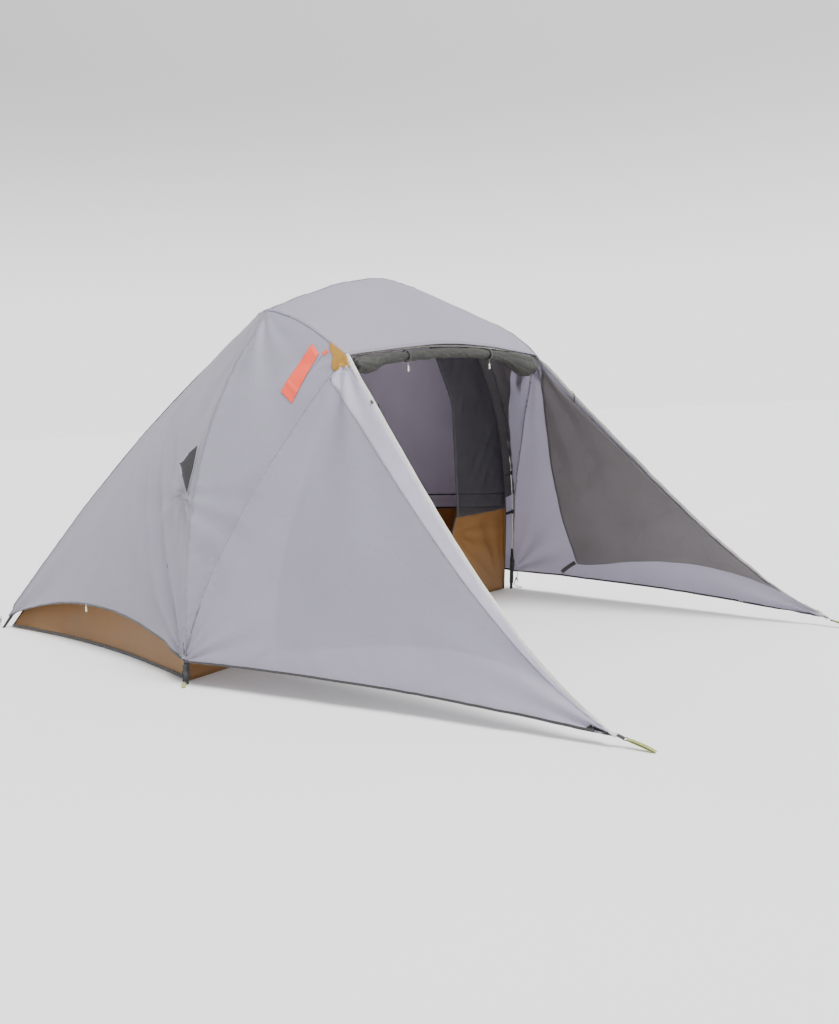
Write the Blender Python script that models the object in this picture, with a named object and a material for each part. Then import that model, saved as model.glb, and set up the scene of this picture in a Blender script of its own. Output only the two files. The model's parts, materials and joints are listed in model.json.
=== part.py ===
"""Dome tent: hubbed pole frame, inner tent with a tub floor, and a fly with an open vestibule.

Frame: metres, +Z up, the door and the vestibule face -Y, the origin is on the ground at the
middle of the tub floor. Soft panels are thin closed shells that follow the pole lines: the fly
runs just outside the poles and the inner tent just inside them.
"""
import math

import bmesh
import bpy
from mathutils import Matrix, Vector

# ---- driving dimensions -------------------------------------------------------------------
FRONT_HALF = 1.20            # half width between the front pole feet
REAR_HALF = 0.95             # half width between the rear pole feet
HALF_DEPTH = 0.975           # the feet stand at y = -HALF_DEPTH and +HALF_DEPTH
HOOP_LEAN = 0.09             # forward lean of the front hoop, metres per metre of height
SHOULDER_HALF = 0.72         # half width between the shoulder hubs
SHOULDER_Z = 1.545
ARCH_Z = 1.71                # top of the roof arch
LEG_POWER = 3.1              # how late a front leg bends inwards
ARCH_POWER = 1.6
CROWN = Vector((0.0, -0.213, 1.59))
REAR_BOW = 0.1836            # how much a rear pole bows, per metre
BROW_HALF = 0.695            # half length of the brow pole
BROW_Y = -1.53
BROW_Z = 1.33
BROW_RISE = 0.05
BROW_REACH = 0.03
TIP = Vector((0.98, -2.90, 0.035))      # right wing's staked tip
EDGE_SAG = 0.115             # catenary cut of a wing's front edge
HEM_CORNER_Z = 0.105         # height of the fly's hem at the front corners
HEM_REAR_Z = 0.07            # and at the rear corners
HEM_ARCH = 0.135             # rise of the side hems
FLOOR_BOW = 0.062            # how far the floor's sides are cut in
FLOOR_FRONT_BOW = 0.045
TUB_Z = 0.52                 # height of the tub wall
SILL_Z = 0.10                # height of the tub wall under the door
DOOR_HALF = 0.69             # half width of the inner door
DOOR_TOP = 1.47
# the door's edge and its sill are sewn from straight runs: (half width, height) at each corner
DOOR_CORNERS = ((0.62, 1.12), (0.435, 1.42), (0.12, DOOR_TOP), (0.0, DOOR_TOP))
SILL_CORNERS = ((0.62, 0.30), (0.40, 0.147), (0.13, SILL_Z), (0.0, SILL_Z))

POLE_R = 0.0048
FLY_OUT = 0.019              # fly's mid-surface outside the pole lines
LINER_OUT = 0.010            # inside flaps and corner panels of the fly
INNER_IN = 0.045             # inner tent's mid-surface inside them
CLOTH = 0.002                # thickness of a soft panel
FLOOR_T = 0.003
GAP = 0.0004                 # clearance between touching pieces
SEAM = 0.0008                # share of a panel's width left open at each seam
HUB_R = 0.0078
HUB_ARM = 0.050
BOOT_R = 0.0088
BOOT_H = 0.24
REAR_BOOT_H = 0.075
BOOT_SOLE = 0.0058
BOOT_PLAY = 0.0016           # clearance between a boot and its pole
BOOT_SIDES = 12
FOOT_TRIM = 0.0078           # a pole's end stands this far above the ground

# shared sample lists, so that panels which meet at a seam meet point for point
STEPS = 10
ALONG = [SEAM, 0.015] + [i / STEPS for i in range(1, STEPS)] + [0.985, 1.0 - SEAM]
GUSSET_COLUMNS = [SEAM, 0.2, 0.4, 0.6, 0.8, 1.0 - SEAM]
GUSSET_ROWS = [0.05] + ALONG[2:]     # the gusset runs out to a point at the hem
ARCH_STEPS = 14
ACROSS = [SEAM] + [i / ARCH_STEPS for i in range(1, ARCH_STEPS)] + [1.0 - SEAM]

COLOURS = {
    "fly_fabric": (0.58, 0.57, 0.63, 0.55, 0.0),
    "fly_liner": (0.20, 0.19, 0.21, 0.75, 0.0),
    "inner_mesh": (0.06, 0.055, 0.065, 0.85, 0.0),
    "inner_fabric": (0.36, 0.35, 0.38, 0.75, 0.0),
    "tub_fabric": (0.36, 0.20, 0.07, 0.60, 0.0),
    "webbing": (0.02, 0.02, 0.022, 0.80, 0.0),
    "loop_webbing": (0.36, 0.38, 0.13, 0.75, 0.0),
    "pole_alloy": (0.62, 0.60, 0.55, 0.35, 1.0),
    "moulding": (0.03, 0.03, 0.03, 0.50, 0.0),
    "toggle_plastic": (0.75, 0.73, 0.66, 0.45, 0.0),
}


# ---- small helpers ------------------------------------------------------------------------
def lerp(a, b, t):
    return a + (b - a) * t


def hump(t):
    """0 at both ends, 1 in the middle."""
    return 4.0 * t * (1.0 - t)


def material(slot):
    found = bpy.data.materials.get(slot)
    if found:
        return found
    red, green, blue, roughness, metallic = COLOURS[slot]
    mat = bpy.data.materials.new(slot)
    mat.use_nodes = True
    shader = mat.node_tree.nodes["Principled BSDF"]
    shader.inputs["Base Color"].default_value = (red, green, blue, 1.0)
    shader.inputs["Roughness"].default_value = roughness
    shader.inputs["Metallic"].default_value = metallic
    mat.diffuse_color = (red, green, blue, 1.0)
    return mat


def add_object(name, mesh_builder, slot, origin=None, smooth=True):
    """Turn a bmesh into a named object whose origin lies on its joint, if it has one."""
    bmesh.ops.recalc_face_normals(mesh_builder, faces=mesh_builder.faces)
    origin = Vector(origin) if origin is not None else Vector((0.0, 0.0, 0.0))
    bmesh.ops.translate(mesh_builder, vec=-origin, verts=mesh_builder.verts)
    mesh = bpy.data.meshes.new(name)
    mesh_builder.to_mesh(mesh)
    mesh_builder.free()
    mesh.materials.append(material(slot))
    if smooth:
        mesh.shade_smooth()
        mesh.set_sharp_from_angle(angle=math.radians(40.0))
    obj = bpy.data.objects.new(name, mesh)
    obj.location = origin
    bpy.context.collection.objects.link(obj)
    return obj


# ---- the tent's lines: each returns a place and an outward direction ----------------------
def corner_direction(kind, side):
    outward = {
        "crown": (0.0, 0.10, 1.0),
        "shoulder": (0.60 * side, -0.25, 0.76),
        "brow": (0.55 * side, -0.45, 0.70),
        "front_foot": (0.72 * side, -0.66, 0.0),
        "rear_foot": (0.60 * side, 0.70, 0.0),
        "tip": (1.0 * side, -0.10, 0.25),
    }[kind]
    return Vector(outward).normalized()


def line_direction(start, end, side, t):
    return lerp(corner_direction(start, side), corner_direction(end, side), t).normalized()


def hoop_y(z):
    return -HALF_DEPTH - HOOP_LEAN * z


def front_leg(side, t):
    """Front leg of the hoop, foot at t = 0 and shoulder hub at t = 1, even in height."""
    z = SHOULDER_Z * t
    x = FRONT_HALF - (FRONT_HALF - SHOULDER_HALF) * t ** LEG_POWER
    return Vector((side * x, hoop_y(z), z)), line_direction("front_foot", "shoulder", side, t)


def rear_leg(side, t):
    """Rear pole from its foot at t = 0 to the crown hub at t = 1, even in height."""
    foot = Vector((side * REAR_HALF, HALF_DEPTH))
    run = (foot - CROWN.xy).length
    pitch = CROWN.z / run + REAR_BOW * run
    z = CROWN.z * t
    s = (pitch - math.sqrt(max(pitch * pitch - 4.0 * REAR_BOW * z, 0.0))) / (2.0 * REAR_BOW)
    flat = foot.lerp(CROWN.xy, s / run)
    return Vector((flat.x, flat.y, z)), line_direction("rear_foot", "crown", side, t)


def roof_arch(s):
    """Roof arch of the hoop from the left shoulder, s = -1, to the right, s = 1."""
    z = ARCH_Z - (ARCH_Z - SHOULDER_Z) * abs(s) ** ARCH_POWER
    place = Vector((SHOULDER_HALF * s, hoop_y(z), z))
    left = corner_direction("shoulder", -1)
    return place, lerp(left, corner_direction("shoulder", 1), 0.5 * (s + 1.0)).normalized()


def roof_arm(side, t):
    """Roof pole from the crown hub, t = 0, to a shoulder hub, t = 1."""
    place = CROWN.lerp(front_leg(side, 1.0)[0], t)
    place.z += 0.012 * hump(t)
    return place, line_direction("crown", "shoulder", side, t)


def brow(s):
    """Brow pole from its left end, s = -1, to its right end, s = 1."""
    rise = 1.0 - s * s
    place = Vector((BROW_HALF * s, BROW_Y - BROW_REACH * rise, BROW_Z + BROW_RISE * rise))
    left = corner_direction("brow", -1)
    return place, lerp(left, corner_direction("brow", 1), 0.5 * (s + 1.0)).normalized()


def shoulder_seam(side, t):
    """Fly seam from a shoulder, t = 0, to the end of the brow pole, t = 1."""
    place = front_leg(side, 1.0)[0].lerp(brow(side)[0], t)
    place += Vector((0.020 * side, 0.0, 0.040)) * hump(t)
    return place, line_direction("shoulder", "brow", side, t)


def hem_share():
    return HEM_CORNER_Z / SHOULDER_Z


def fly_front_leg(side, t):
    """The front leg's line from the fly's hem up."""
    place, _ = front_leg(side, lerp(hem_share(), 1.0, t))
    return place, line_direction("front_foot", "shoulder", side, t)


def fly_rear_leg(side, t):
    """The rear pole's line from the fly's hem up."""
    place, _ = rear_leg(side, lerp(HEM_REAR_Z / CROWN.z, 1.0, t))
    return place, line_direction("rear_foot", "crown", side, t)


def wing_seam(side, t):
    """Fly seam from the hem at a front corner, t = 0, to the end of the brow pole, t = 1."""
    foot = fly_front_leg(side, 0.0)[0]
    top = brow(side)[0]
    place = Vector((lerp(foot.x, top.x, t ** 1.25),
                    lerp(foot.y, top.y, t ** 1.5),
                    lerp(foot.z, top.z, t)))
    return place, line_direction("front_foot", "brow", side, t)


def wing_edge(side, t):
    """A wing's front edge from the brow, t = 0, to its staked tip, t = 1."""
    top = brow(side)[0]
    tip = Vector((TIP.x * side, TIP.y, TIP.z))
    sag = EDGE_SAG * hump(t) * (0.5 + t)
    place = Vector((lerp(top.x, tip.x, 1.0 - (1.0 - t) ** 1.4),
                    lerp(top.y, tip.y, t),
                    lerp(top.z, tip.z, t) - sag))
    return place, line_direction("brow", "tip", side, t)


def wing_hem(side, t):
    """A wing's bottom hem from the front corner, t = 0, to its tip, t = 1."""
    foot = fly_front_leg(side, 0.0)[0]
    tip = Vector((TIP.x * side, TIP.y, TIP.z))
    place = foot.lerp(tip, t)
    place.z += 0.025 * hump(t)
    return place, line_direction("front_foot", "tip", side, t)


def side_hem(side, t):
    """The fly's arched side hem from the rear corner, t = 0, to the front, t = 1."""
    rear = fly_rear_leg(side, 0.0)[0]
    front = fly_front_leg(side, 0.0)[0]
    place = rear.lerp(front, t)
    place.z += HEM_ARCH * hump(t)
    place.x -= side * 0.062 * hump(t)
    return place, line_direction("rear_foot", "front_foot", side, t)


def rear_hem(t):
    """The fly's rear hem from the left corner, t = 0, to the right, t = 1."""
    left = fly_rear_leg(-1, 0.0)[0]
    place = left.lerp(fly_rear_leg(1, 0.0)[0], t)
    place.z += 0.11 * hump(t)
    place.y -= 0.05 * hump(t)
    direction = lerp(corner_direction("rear_foot", -1), corner_direction("rear_foot", 1), t)
    return place, direction.normalized()


def floor_side(side, t):
    """The floor's side edge from the rear corner, t = 0, to the front, t = 1."""
    place = rear_leg(side, 0.0)[0].lerp(front_leg(side, 0.0)[0], t)
    place.x -= side * FLOOR_BOW * hump(t)
    return place, line_direction("rear_foot", "front_foot", side, t)


def floor_rear(t):
    place = rear_leg(-1, 0.0)[0].lerp(rear_leg(1, 0.0)[0], t)
    place.y -= 0.05 * hump(t)
    direction = lerp(corner_direction("rear_foot", -1), corner_direction("rear_foot", 1), t)
    return place, direction.normalized()


# ---- soft panels --------------------------------------------------------------------------
def coons(bottom, top, left, right, u, v):
    """Blend four edge lines into one curved panel; places and directions blend alike."""
    parts = []
    for i in (0, 1):
        across = lerp(left(v)[i], right(v)[i], u)
        upward = lerp(bottom(u)[i], top(u)[i], v)
        corners = lerp(lerp(bottom(0.0)[i], bottom(1.0)[i], u),
                       lerp(top(0.0)[i], top(1.0)[i], u), v)
        parts.append(across + upward - corners)
    return parts[0], parts[1].normalized()


def side_panel(side, u, v):
    """Fly side: u from the rear pole to the front leg, v from the hem to the roof pole."""
    return coons(lambda t: side_hem(side, t), lambda t: roof_arm(side, t),
                 lambda t: fly_rear_leg(side, t), lambda t: fly_front_leg(side, t), u, v)


def rear_panel(u, v):
    """Fly rear: u from left to right, v from the hem to the crown."""
    crown = (CROWN, corner_direction("crown", 1))
    return coons(rear_hem, lambda t: crown,
                 lambda t: fly_rear_leg(-1, t), lambda t: fly_rear_leg(1, t), u, v)


def roof_panel(u, v):
    """Roof between the arch, v = 0, and the crown, v = 1."""
    crown = (CROWN, corner_direction("crown", 1))
    return coons(lambda t: roof_arch(2.0 * t - 1.0), lambda t: crown,
                 lambda t: roof_arm(-1, 1.0 - t), lambda t: roof_arm(1, 1.0 - t), u, v)


def brow_panel(u, v):
    """Front roof between the brow pole, v = 0, and the arch, v = 1."""
    return coons(lambda t: brow(2.0 * t - 1.0), lambda t: roof_arch(2.0 * t - 1.0),
                 lambda t: shoulder_seam(-1, 1.0 - t), lambda t: shoulder_seam(1, 1.0 - t), u, v)


def gusset_panel(side, u, v):
    """Fly gusset: u from the wing's seam to the front leg, v from the hem to the roof seam."""
    foot = fly_front_leg(side, 0.0)
    return coons(lambda t: foot, lambda t: shoulder_seam(side, 1.0 - t),
                 lambda t: wing_seam(side, t), lambda t: fly_front_leg(side, t), u, v)


def wing_panel(side, u, v):
    """Vestibule wing: u from its seam to the tip, v from the hem to the front edge."""
    tip = wing_hem(side, 1.0)
    return coons(lambda t: wing_hem(side, t), lambda t: wing_edge(side, t),
                 lambda t: wing_seam(side, t), lambda t: tip, u, v)


def inner_side_panel(side, u, v):
    """Inner side from the floor to the roof pole, tub included."""
    return coons(lambda t: floor_side(side, t), lambda t: roof_arm(side, t),
                 lambda t: rear_leg(side, t), lambda t: front_leg(side, t), u, v)


def inner_rear_panel(u, v):
    crown = (CROWN, corner_direction("crown", 1))
    return coons(floor_rear, lambda t: crown,
                 lambda t: rear_leg(-1, t), lambda t: rear_leg(1, t), u, v)


def shell(name, panel, us, vs, offset, slot, thickness=CLOTH):
    """A closed thin shell about the panel's surface, moved out by offset."""
    bm = bmesh.new()
    rows = []
    for v in vs:
        row = []
        for u in us:
            place, outward = panel(u, v)
            middle = place + outward * offset
            row.append((bm.verts.new(middle + outward * thickness / 2.0),
                        bm.verts.new(middle - outward * thickness / 2.0)))
        rows.append(row)
    close_grid(bm, rows)
    return add_object(name, bm, slot)


def close_grid(bm, rows):
    """Faces for a grid of (outer, inner) vertex pairs: both skins and the four rims.

    Both skins are cut along the same diagonals, so the wall between them stays even.
    """
    last_row, last_col = len(rows) - 1, len(rows[0]) - 1
    for j in range(last_row):
        for i in range(last_col):
            a, b, c, d = rows[j][i], rows[j][i + 1], rows[j + 1][i + 1], rows[j + 1][i]
            bm.faces.new((a[0], b[0], c[0]))
            bm.faces.new((a[0], c[0], d[0]))
            bm.faces.new((c[1], b[1], a[1]))
            bm.faces.new((d[1], c[1], a[1]))
    rim = [rows[0][i] for i in range(last_col + 1)]
    rim += [rows[j][last_col] for j in range(1, last_row + 1)]
    rim += [rows[last_row][i] for i in range(last_col - 1, -1, -1)]
    rim += [rows[j][0] for j in range(last_row - 1, 0, -1)]
    for here, after in zip(rim, rim[1:] + rim[:1]):
        bm.faces.new((here[1], after[1], after[0], here[0]))


def fly():
    for side, word in ((-1, "left"), (1, "right")):
        shell("fly_side_" + word, lambda u, v: side_panel(side, u, v),
              ALONG, ALONG, FLY_OUT, "fly_fabric")
        shell("fly_gusset_" + word, lambda u, v: gusset_panel(side, u, v),
              GUSSET_COLUMNS, GUSSET_ROWS, FLY_OUT, "fly_fabric")
        shell("wing_" + word, lambda u, v: wing_panel(side, u, v),
              ALONG[:-1], ALONG, FLY_OUT, "fly_fabric")
        shell("wing_liner_" + word, lambda q, r: liner_point(side, q, r),
              [i / 9 for i in range(10)], [i / 7 for i in range(8)], LINER_OUT, "fly_liner")
        shell("inner_corner_panel_" + word, lambda q, r: corner_liner_point(side, q, r),
              [i / 4 for i in range(5)], [0.03 + 0.97 * i / 7 for i in range(8)],
              LINER_OUT, "fly_liner")
    shell("fly_rear", rear_panel, ACROSS, ALONG[:-1], FLY_OUT, "fly_fabric")
    shell("fly_roof", roof_panel, ACROSS, ALONG[:-1], FLY_OUT, "fly_fabric")
    shell("fly_brow", brow_panel, ACROSS, ALONG, FLY_OUT, "fly_fabric")


def liner_point(side, q, r):
    """Inside flap of a wing, hung from the front edge and cut in a curve below."""
    low_u, low_v = 0.25 + 0.60 * q, 0.10 + 0.86 * q ** 1.6
    high_u, high_v = 0.03 + 0.82 * q, 0.982
    return wing_panel(side, lerp(low_u, high_u, r), lerp(low_v, high_v, r))


def corner_liner_point(side, q, r):
    """Dark corner panel from the clip on the front leg up to the brow."""
    return gusset_panel(side, lerp(1.0 - 0.75 * r, 0.985, q), lerp(0.40, 0.95 - 0.06 * q, r))


# ---- inner tent ---------------------------------------------------------------------------
TUB_SHARE = TUB_Z / CROWN.z
WALL_INSET = 0.004           # the front wall stops this far inside its corner line
TUB_ROWS = [0.0030, 0.11, 0.22, TUB_SHARE - SEAM / 2.0]
WALL_STEPS = 7
DOOR_SHARES = (0.0, 0.375, 0.625, 0.875, 1.0)   # where the door's corners fall along its edge
WALL_ROWS = [TUB_SHARE + SEAM / 2.0]
WALL_ROWS += [lerp(TUB_SHARE, 1.0, i / WALL_STEPS) for i in range(1, WALL_STEPS)]
WALL_ROWS += [0.985, 1.0 - SEAM]
INNER_COLUMNS = [SEAM, 0.015] + [i / 8 for i in range(1, 8)] + [0.985, 1.0 - SEAM]


def front_line(side, t):
    """The inner tent's front corner line."""
    place, outward = front_leg(side, t)
    return place - outward * (INNER_IN + WALL_INSET)


def front_tub_z():
    """Height of the tub's top edge at the front corners."""
    return front_line(1, TUB_SHARE).z


def arch_line(s):
    place, outward = roof_arch(s)
    return place - outward * (INNER_IN + WALL_INSET)


def wall_y(z):
    return hoop_y(z) + 0.022


def door_edge(share):
    """The door's edge from the tub's top, share = 0, to the middle of its top, share = 1."""
    corners = ((DOOR_HALF, front_tub_z() + 0.001),) + DOOR_CORNERS
    place = 0.0
    for corner_share, start, end in zip(DOOR_SHARES[1:], corners, corners[1:]):
        if share <= corner_share:
            t = (share - place) / (corner_share - place)
            return lerp(start[0], end[0], t), lerp(start[1], end[1], t)
        place = corner_share
    return corners[-1]


def front_wall(side, word):
    """One half of the mesh front wall: a band from the corner and arch to the door's edge."""
    outer = [front_line(side, t) for t in WALL_ROWS]
    arch_rows = [1.0 - SEAM] + [1.0 - i / 7 for i in range(1, 7)] + [SEAM]
    outer += [arch_line(side * s) for s in arch_rows]
    bm = bmesh.new()
    columns = (SEAM * 2.0, 0.33, 0.66, 1.0)
    rows = []
    for index, start in enumerate(outer):
        x, z = door_edge(index / (len(outer) - 1))
        end = Vector((side * max(x, SEAM), wall_y(z), z))
        row = []
        for share in columns:
            middle = start.lerp(end, share)
            row.append((bm.verts.new(middle + Vector((0.0, -CLOTH / 2.0, 0.0))),
                        bm.verts.new(middle + Vector((0.0, CLOTH / 2.0, 0.0)))))
        rows.append(row)
    close_grid(bm, rows)
    add_object("inner_front_" + word, bm, "inner_mesh")


def tub_front():
    """The tub's front wall, cut down to a low sill under the door."""
    half = front_line(1, 0.0).x
    runs = ((half * (1.0 - SEAM), front_tub_z()), (DOOR_HALF, front_tub_z())) + SILL_CORNERS
    outline = []
    for start, end in zip(runs, runs[1:]):
        steps = 3 if end[0] > 0.0 else 2
        outline += [(lerp(start[0], end[0], i / steps), lerp(start[1], end[1], i / steps))
                    for i in range(steps)]
    outline = [(-x, z) for x, z in outline] + [runs[-1]] + outline[::-1]
    rows = []
    bm = bmesh.new()
    for v in (0.0, 0.33, 0.66, 0.994):
        row = []
        for x, height in outline:
            share = x / half
            z = lerp(FLOOR_T + 0.0016, height, v)
            corner = front_line(1, z / SHOULDER_Z)
            bow = FLOOR_FRONT_BOW * (1.0 - share * share) * (1.0 - z / front_tub_z())
            middle = Vector((corner.x * share, corner.y + bow, z))
            row.append((bm.verts.new(middle + Vector((0.0, -CLOTH / 2.0, 0.0))),
                        bm.verts.new(middle + Vector((0.0, CLOTH / 2.0, 0.0)))))
        rows.append(row)
    close_grid(bm, rows)
    add_object("tub_wall_front", bm, "tub_fabric")


def tub_floor():
    """Flat floor whose four edges are cut in between the corners."""
    loop = []
    steps = 10
    for i in range(steps):
        loop.append(inward(floor_side(-1, i / steps)))
    for i in range(steps):
        share = -1.0 + 2.0 * i / steps
        corner = front_line(1, 0.0)
        loop.append(Vector((corner.x * share, corner.y + FLOOR_FRONT_BOW * (1.0 - share ** 2), 0.0)))
    for i in range(steps):
        loop.append(inward(floor_side(1, 1.0 - i / steps)))
    for i in range(steps):
        loop.append(inward(floor_rear(1.0 - i / steps)))
    bm = bmesh.new()
    face = bm.faces.new([bm.verts.new((p.x, p.y, 0.0)) for p in loop])
    pushed = bmesh.ops.extrude_face_region(bm, geom=[face])
    top = [item for item in pushed["geom"] if isinstance(item, bmesh.types.BMVert)]
    bmesh.ops.translate(bm, vec=(0.0, 0.0, FLOOR_T), verts=top)
    bmesh.ops.triangulate(bm, faces=[f for f in bm.faces if len(f.verts) > 4])
    add_object("tub_floor", bm, "tub_fabric", smooth=False)


def inward(line_point):
    place, outward = line_point
    return place - outward * INNER_IN


def inner_tent():
    for side, word in ((-1, "left"), (1, "right")):
        shell("tub_wall_" + word, lambda u, v: inner_side_panel(side, u, v),
              INNER_COLUMNS, TUB_ROWS, -INNER_IN, "tub_fabric")
        shell("inner_wall_" + word, lambda u, v: inner_side_panel(side, u, v),
              INNER_COLUMNS, WALL_ROWS, -INNER_IN, "inner_fabric")
        front_wall(side, word)
    shell("tub_wall_rear", inner_rear_panel, INNER_COLUMNS, TUB_ROWS, -INNER_IN, "tub_fabric")
    shell("inner_wall_rear", inner_rear_panel, INNER_COLUMNS, WALL_ROWS[:-1], -INNER_IN,
          "inner_fabric")
    shell("inner_roof", roof_panel, ACROSS, INNER_COLUMNS[:-1], -INNER_IN, "inner_fabric")
    tub_front()
    tub_floor()


# ---- poles and hubs -----------------------------------------------------------------------
def rod(name, points, radius, slot, sides=8):
    """A round rod along a polyline, with flat ends."""
    bm = bmesh.new()
    rings = []
    side_axis = Vector((0.0, 0.0, 1.0))
    first = (points[1] - points[0]).normalized()
    if abs(first.dot(side_axis)) > 0.9:
        side_axis = Vector((0.0, 1.0, 0.0))
    for i, place in enumerate(points):
        before = points[max(i - 1, 0)]
        after = points[min(i + 1, len(points) - 1)]
        along = (after - before).normalized()
        side_axis = (side_axis - along * side_axis.dot(along)).normalized()
        cross = along.cross(side_axis)
        size = radius[i] if isinstance(radius, list) else radius
        rings.append([bm.verts.new(place + (side_axis * math.cos(a) + cross * math.sin(a)) * size)
                      for a in (2.0 * math.pi * k / sides for k in range(sides))])
    for low, high in zip(rings, rings[1:]):
        for k in range(sides):
            n = (k + 1) % sides
            bm.faces.new((low[k], low[n], high[n], high[k]))
    bm.faces.new(rings[0][::-1])
    bm.faces.new(rings[-1])
    return add_object(name, bm, slot)


def trimmed(line, start_trim, end_trim, steps):
    """Points along a line with both ends cut back by the given lengths."""
    length = sum((line(i / 200) - line((i - 1) / 200)).length for i in range(1, 201))
    return [line(lerp(start_trim / length, 1.0 - end_trim / length, i / steps))
            for i in range(steps + 1)]


def poles():
    steps = 14
    reach = HUB_ARM + GAP
    for side, word in ((-1, "left"), (1, "right")):
        front = trimmed(lambda t: front_leg(side, t)[0], FOOT_TRIM, reach, steps)
        rod("front_pole_" + word, front, POLE_R, "pole_alloy")
        rear = trimmed(lambda t: rear_leg(side, t)[0], FOOT_TRIM, reach, steps)
        rod("rear_pole_" + word, rear, POLE_R, "pole_alloy")
        roof = trimmed(lambda t: roof_arm(side, t)[0], reach, reach, 8)
        rod("roof_pole_" + word, roof, POLE_R, "pole_alloy")
    arch = trimmed(lambda t: roof_arch(2.0 * t - 1.0)[0], reach, reach, steps)
    rod("roof_arch_pole", arch, POLE_R, "pole_alloy")
    front = [brow(-0.985 + 1.97 * i / steps)[0] for i in range(steps + 1)]
    rod("brow_pole", front, POLE_R, "pole_alloy")


def hub(name, centre, ends):
    """A moulded hub: a short round socket towards each pole end, joined into one body."""
    sockets = []
    for index, end in enumerate(ends):
        along = (end - centre).normalized()
        bm = bmesh.new()
        bmesh.ops.create_cone(bm, cap_ends=True, segments=12, radius1=HUB_R * 1.15,
                              radius2=HUB_R, depth=HUB_ARM)
        turn = Vector((0.0, 0.0, 1.0)).rotation_difference(along).to_matrix().to_4x4()
        shift = Matrix.Translation(centre + along * (HUB_ARM / 2.0 - 0.002 - 0.0004 * index))
        roll = Matrix.Rotation(0.1 + 0.21 * index, 4, "Z")
        bmesh.ops.transform(bm, matrix=shift @ turn @ roll, verts=bm.verts)
        label = name if index == 0 else name + "_socket_" + str(index)
        sockets.append(add_object(label, bm, "moulding"))
    bm = bmesh.new()
    bmesh.ops.create_uvsphere(bm, u_segments=11, v_segments=7, radius=HUB_R * 1.5)
    tilt = Matrix.Rotation(0.37, 4, "X") @ Matrix.Rotation(0.23, 4, "Y")
    bmesh.ops.transform(bm, matrix=tilt, verts=bm.verts)
    bmesh.ops.translate(bm, vec=centre, verts=bm.verts)
    sockets.append(add_object(name + "_ball", bm, "moulding"))
    for cutter in sockets[1:]:
        cutter.hide_render = True
        cutter.display_type = "WIRE"
        join = sockets[0].modifiers.new("join", "BOOLEAN")
        join.operation = "UNION"
        join.solver = "EXACT"
        join.object = cutter


def hubs():
    near = 0.035             # share of each pole that gives a socket its direction
    crown_ends = [rear_leg(-1, 1.0 - near)[0], rear_leg(1, 1.0 - near)[0],
                  roof_arm(-1, near)[0], roof_arm(1, near)[0]]
    hub("crown_hub", CROWN, crown_ends)
    for side, word in ((-1, "left"), (1, "right")):
        ends = [front_leg(side, 1.0 - near)[0], roof_arch(side * (1.0 - 2.0 * near))[0],
                roof_arm(side, 1.0 - near)[0]]
        hub("shoulder_hub_" + word, front_leg(side, 1.0)[0], ends)


def boots():
    """Webbing boots that hold the pole feet: a closed cup along each pole."""
    for side, word in ((-1, "left"), (1, "right")):
        boot("front_boot_" + word, lambda t: front_leg(side, t)[0], SHOULDER_Z, BOOT_H)
        boot("rear_boot_" + word, lambda t: rear_leg(side, t)[0], CROWN.z, REAR_BOOT_H)


def boot(name, line, line_height, height):
    """A round webbing cup along the foot of a pole, turned from its profile."""
    base = line(0.0)
    top = line(height / line_height)
    turn = Vector((0.0, 0.0, 1.0)).rotation_difference((top - base).normalized())
    depth = (top - base).length
    bore = POLE_R + BOOT_PLAY
    profile = ((0.0, 0.0), (BOOT_R, 0.0), (BOOT_R, depth), (bore, depth),
               (bore, BOOT_SOLE), (0.0, BOOT_SOLE))
    bm = bmesh.new()
    loops = []
    for radius, level in profile:
        count = BOOT_SIDES if radius else 1
        loops.append([bm.verts.new(place_boot(base, turn, radius, level, 2.0 * math.pi * k / count))
                      for k in range(count)])
    for low, high in zip(loops, loops[1:]):
        for k in range(BOOT_SIDES):
            n = (k + 1) % BOOT_SIDES
            if len(low) == 1:
                bm.faces.new((low[0], high[k], high[n]))
            elif len(high) == 1:
                bm.faces.new((low[k], low[n], high[0]))
            else:
                bm.faces.new((low[k], low[n], high[n], high[k]))
    add_object(name, bm, "webbing")


def place_boot(base, turn, radius, level, angle):
    """A point on a boot; its sole stays flat on the ground, whatever way the pole leans."""
    flat = Vector((radius * math.cos(angle), radius * math.sin(angle), level))
    point = base + turn @ flat
    if level == 0.0:
        point = base + Vector((radius * math.cos(angle), radius * math.sin(angle), 0.0))
    return point


# ---- rolled doors and their ties ----------------------------------------------------------
def roll_radius(s):
    """The rolled fly door is slim in the middle and fat at its loose ends."""
    right = 0.030 * math.exp(-((s - 0.80) / 0.16) ** 2)
    left = 0.014 * math.exp(-((s + 0.86) / 0.10) ** 2)
    return 0.023 + right + left


def roll_centre(s):
    drop = roll_radius(s) + 0.012
    return brow(s)[0] + Vector((0.0, -0.30 * drop, -0.95 * drop))


TIES = (("left", -0.50), ("right", 0.36))


def rolls():
    steps = 22
    shares = [-0.95 + 1.90 * i / steps for i in range(steps + 1)]
    rod("door_roll", [roll_centre(s) for s in shares], [roll_radius(s) for s in shares],
        "fly_liner", sides=12)
    line = []
    for i in range(9):
        z = 0.50 + 0.085 * i
        line.append(Vector((-0.735 + 0.05 * (i / 8) ** 2, wall_y(z) + 0.044, z)))
    rod("inner_door_roll", line, 0.030, "inner_mesh", sides=10)
    for word, s in TIES:
        band("roll_tie_" + word, roll_centre(s), roll_centre(s + 0.01) - roll_centre(s),
             roll_radius(s) + 0.0012, 0.0022, 0.014, "webbing")
        toggle("roll_toggle_" + word, toggle_hook(s))


def toggle_hook(s):
    """Where a tie's toggle hangs: under the front of the roll."""
    return roll_centre(s) + Vector((0.0, -0.006, -(roll_radius(s) + 0.0062)))


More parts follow.
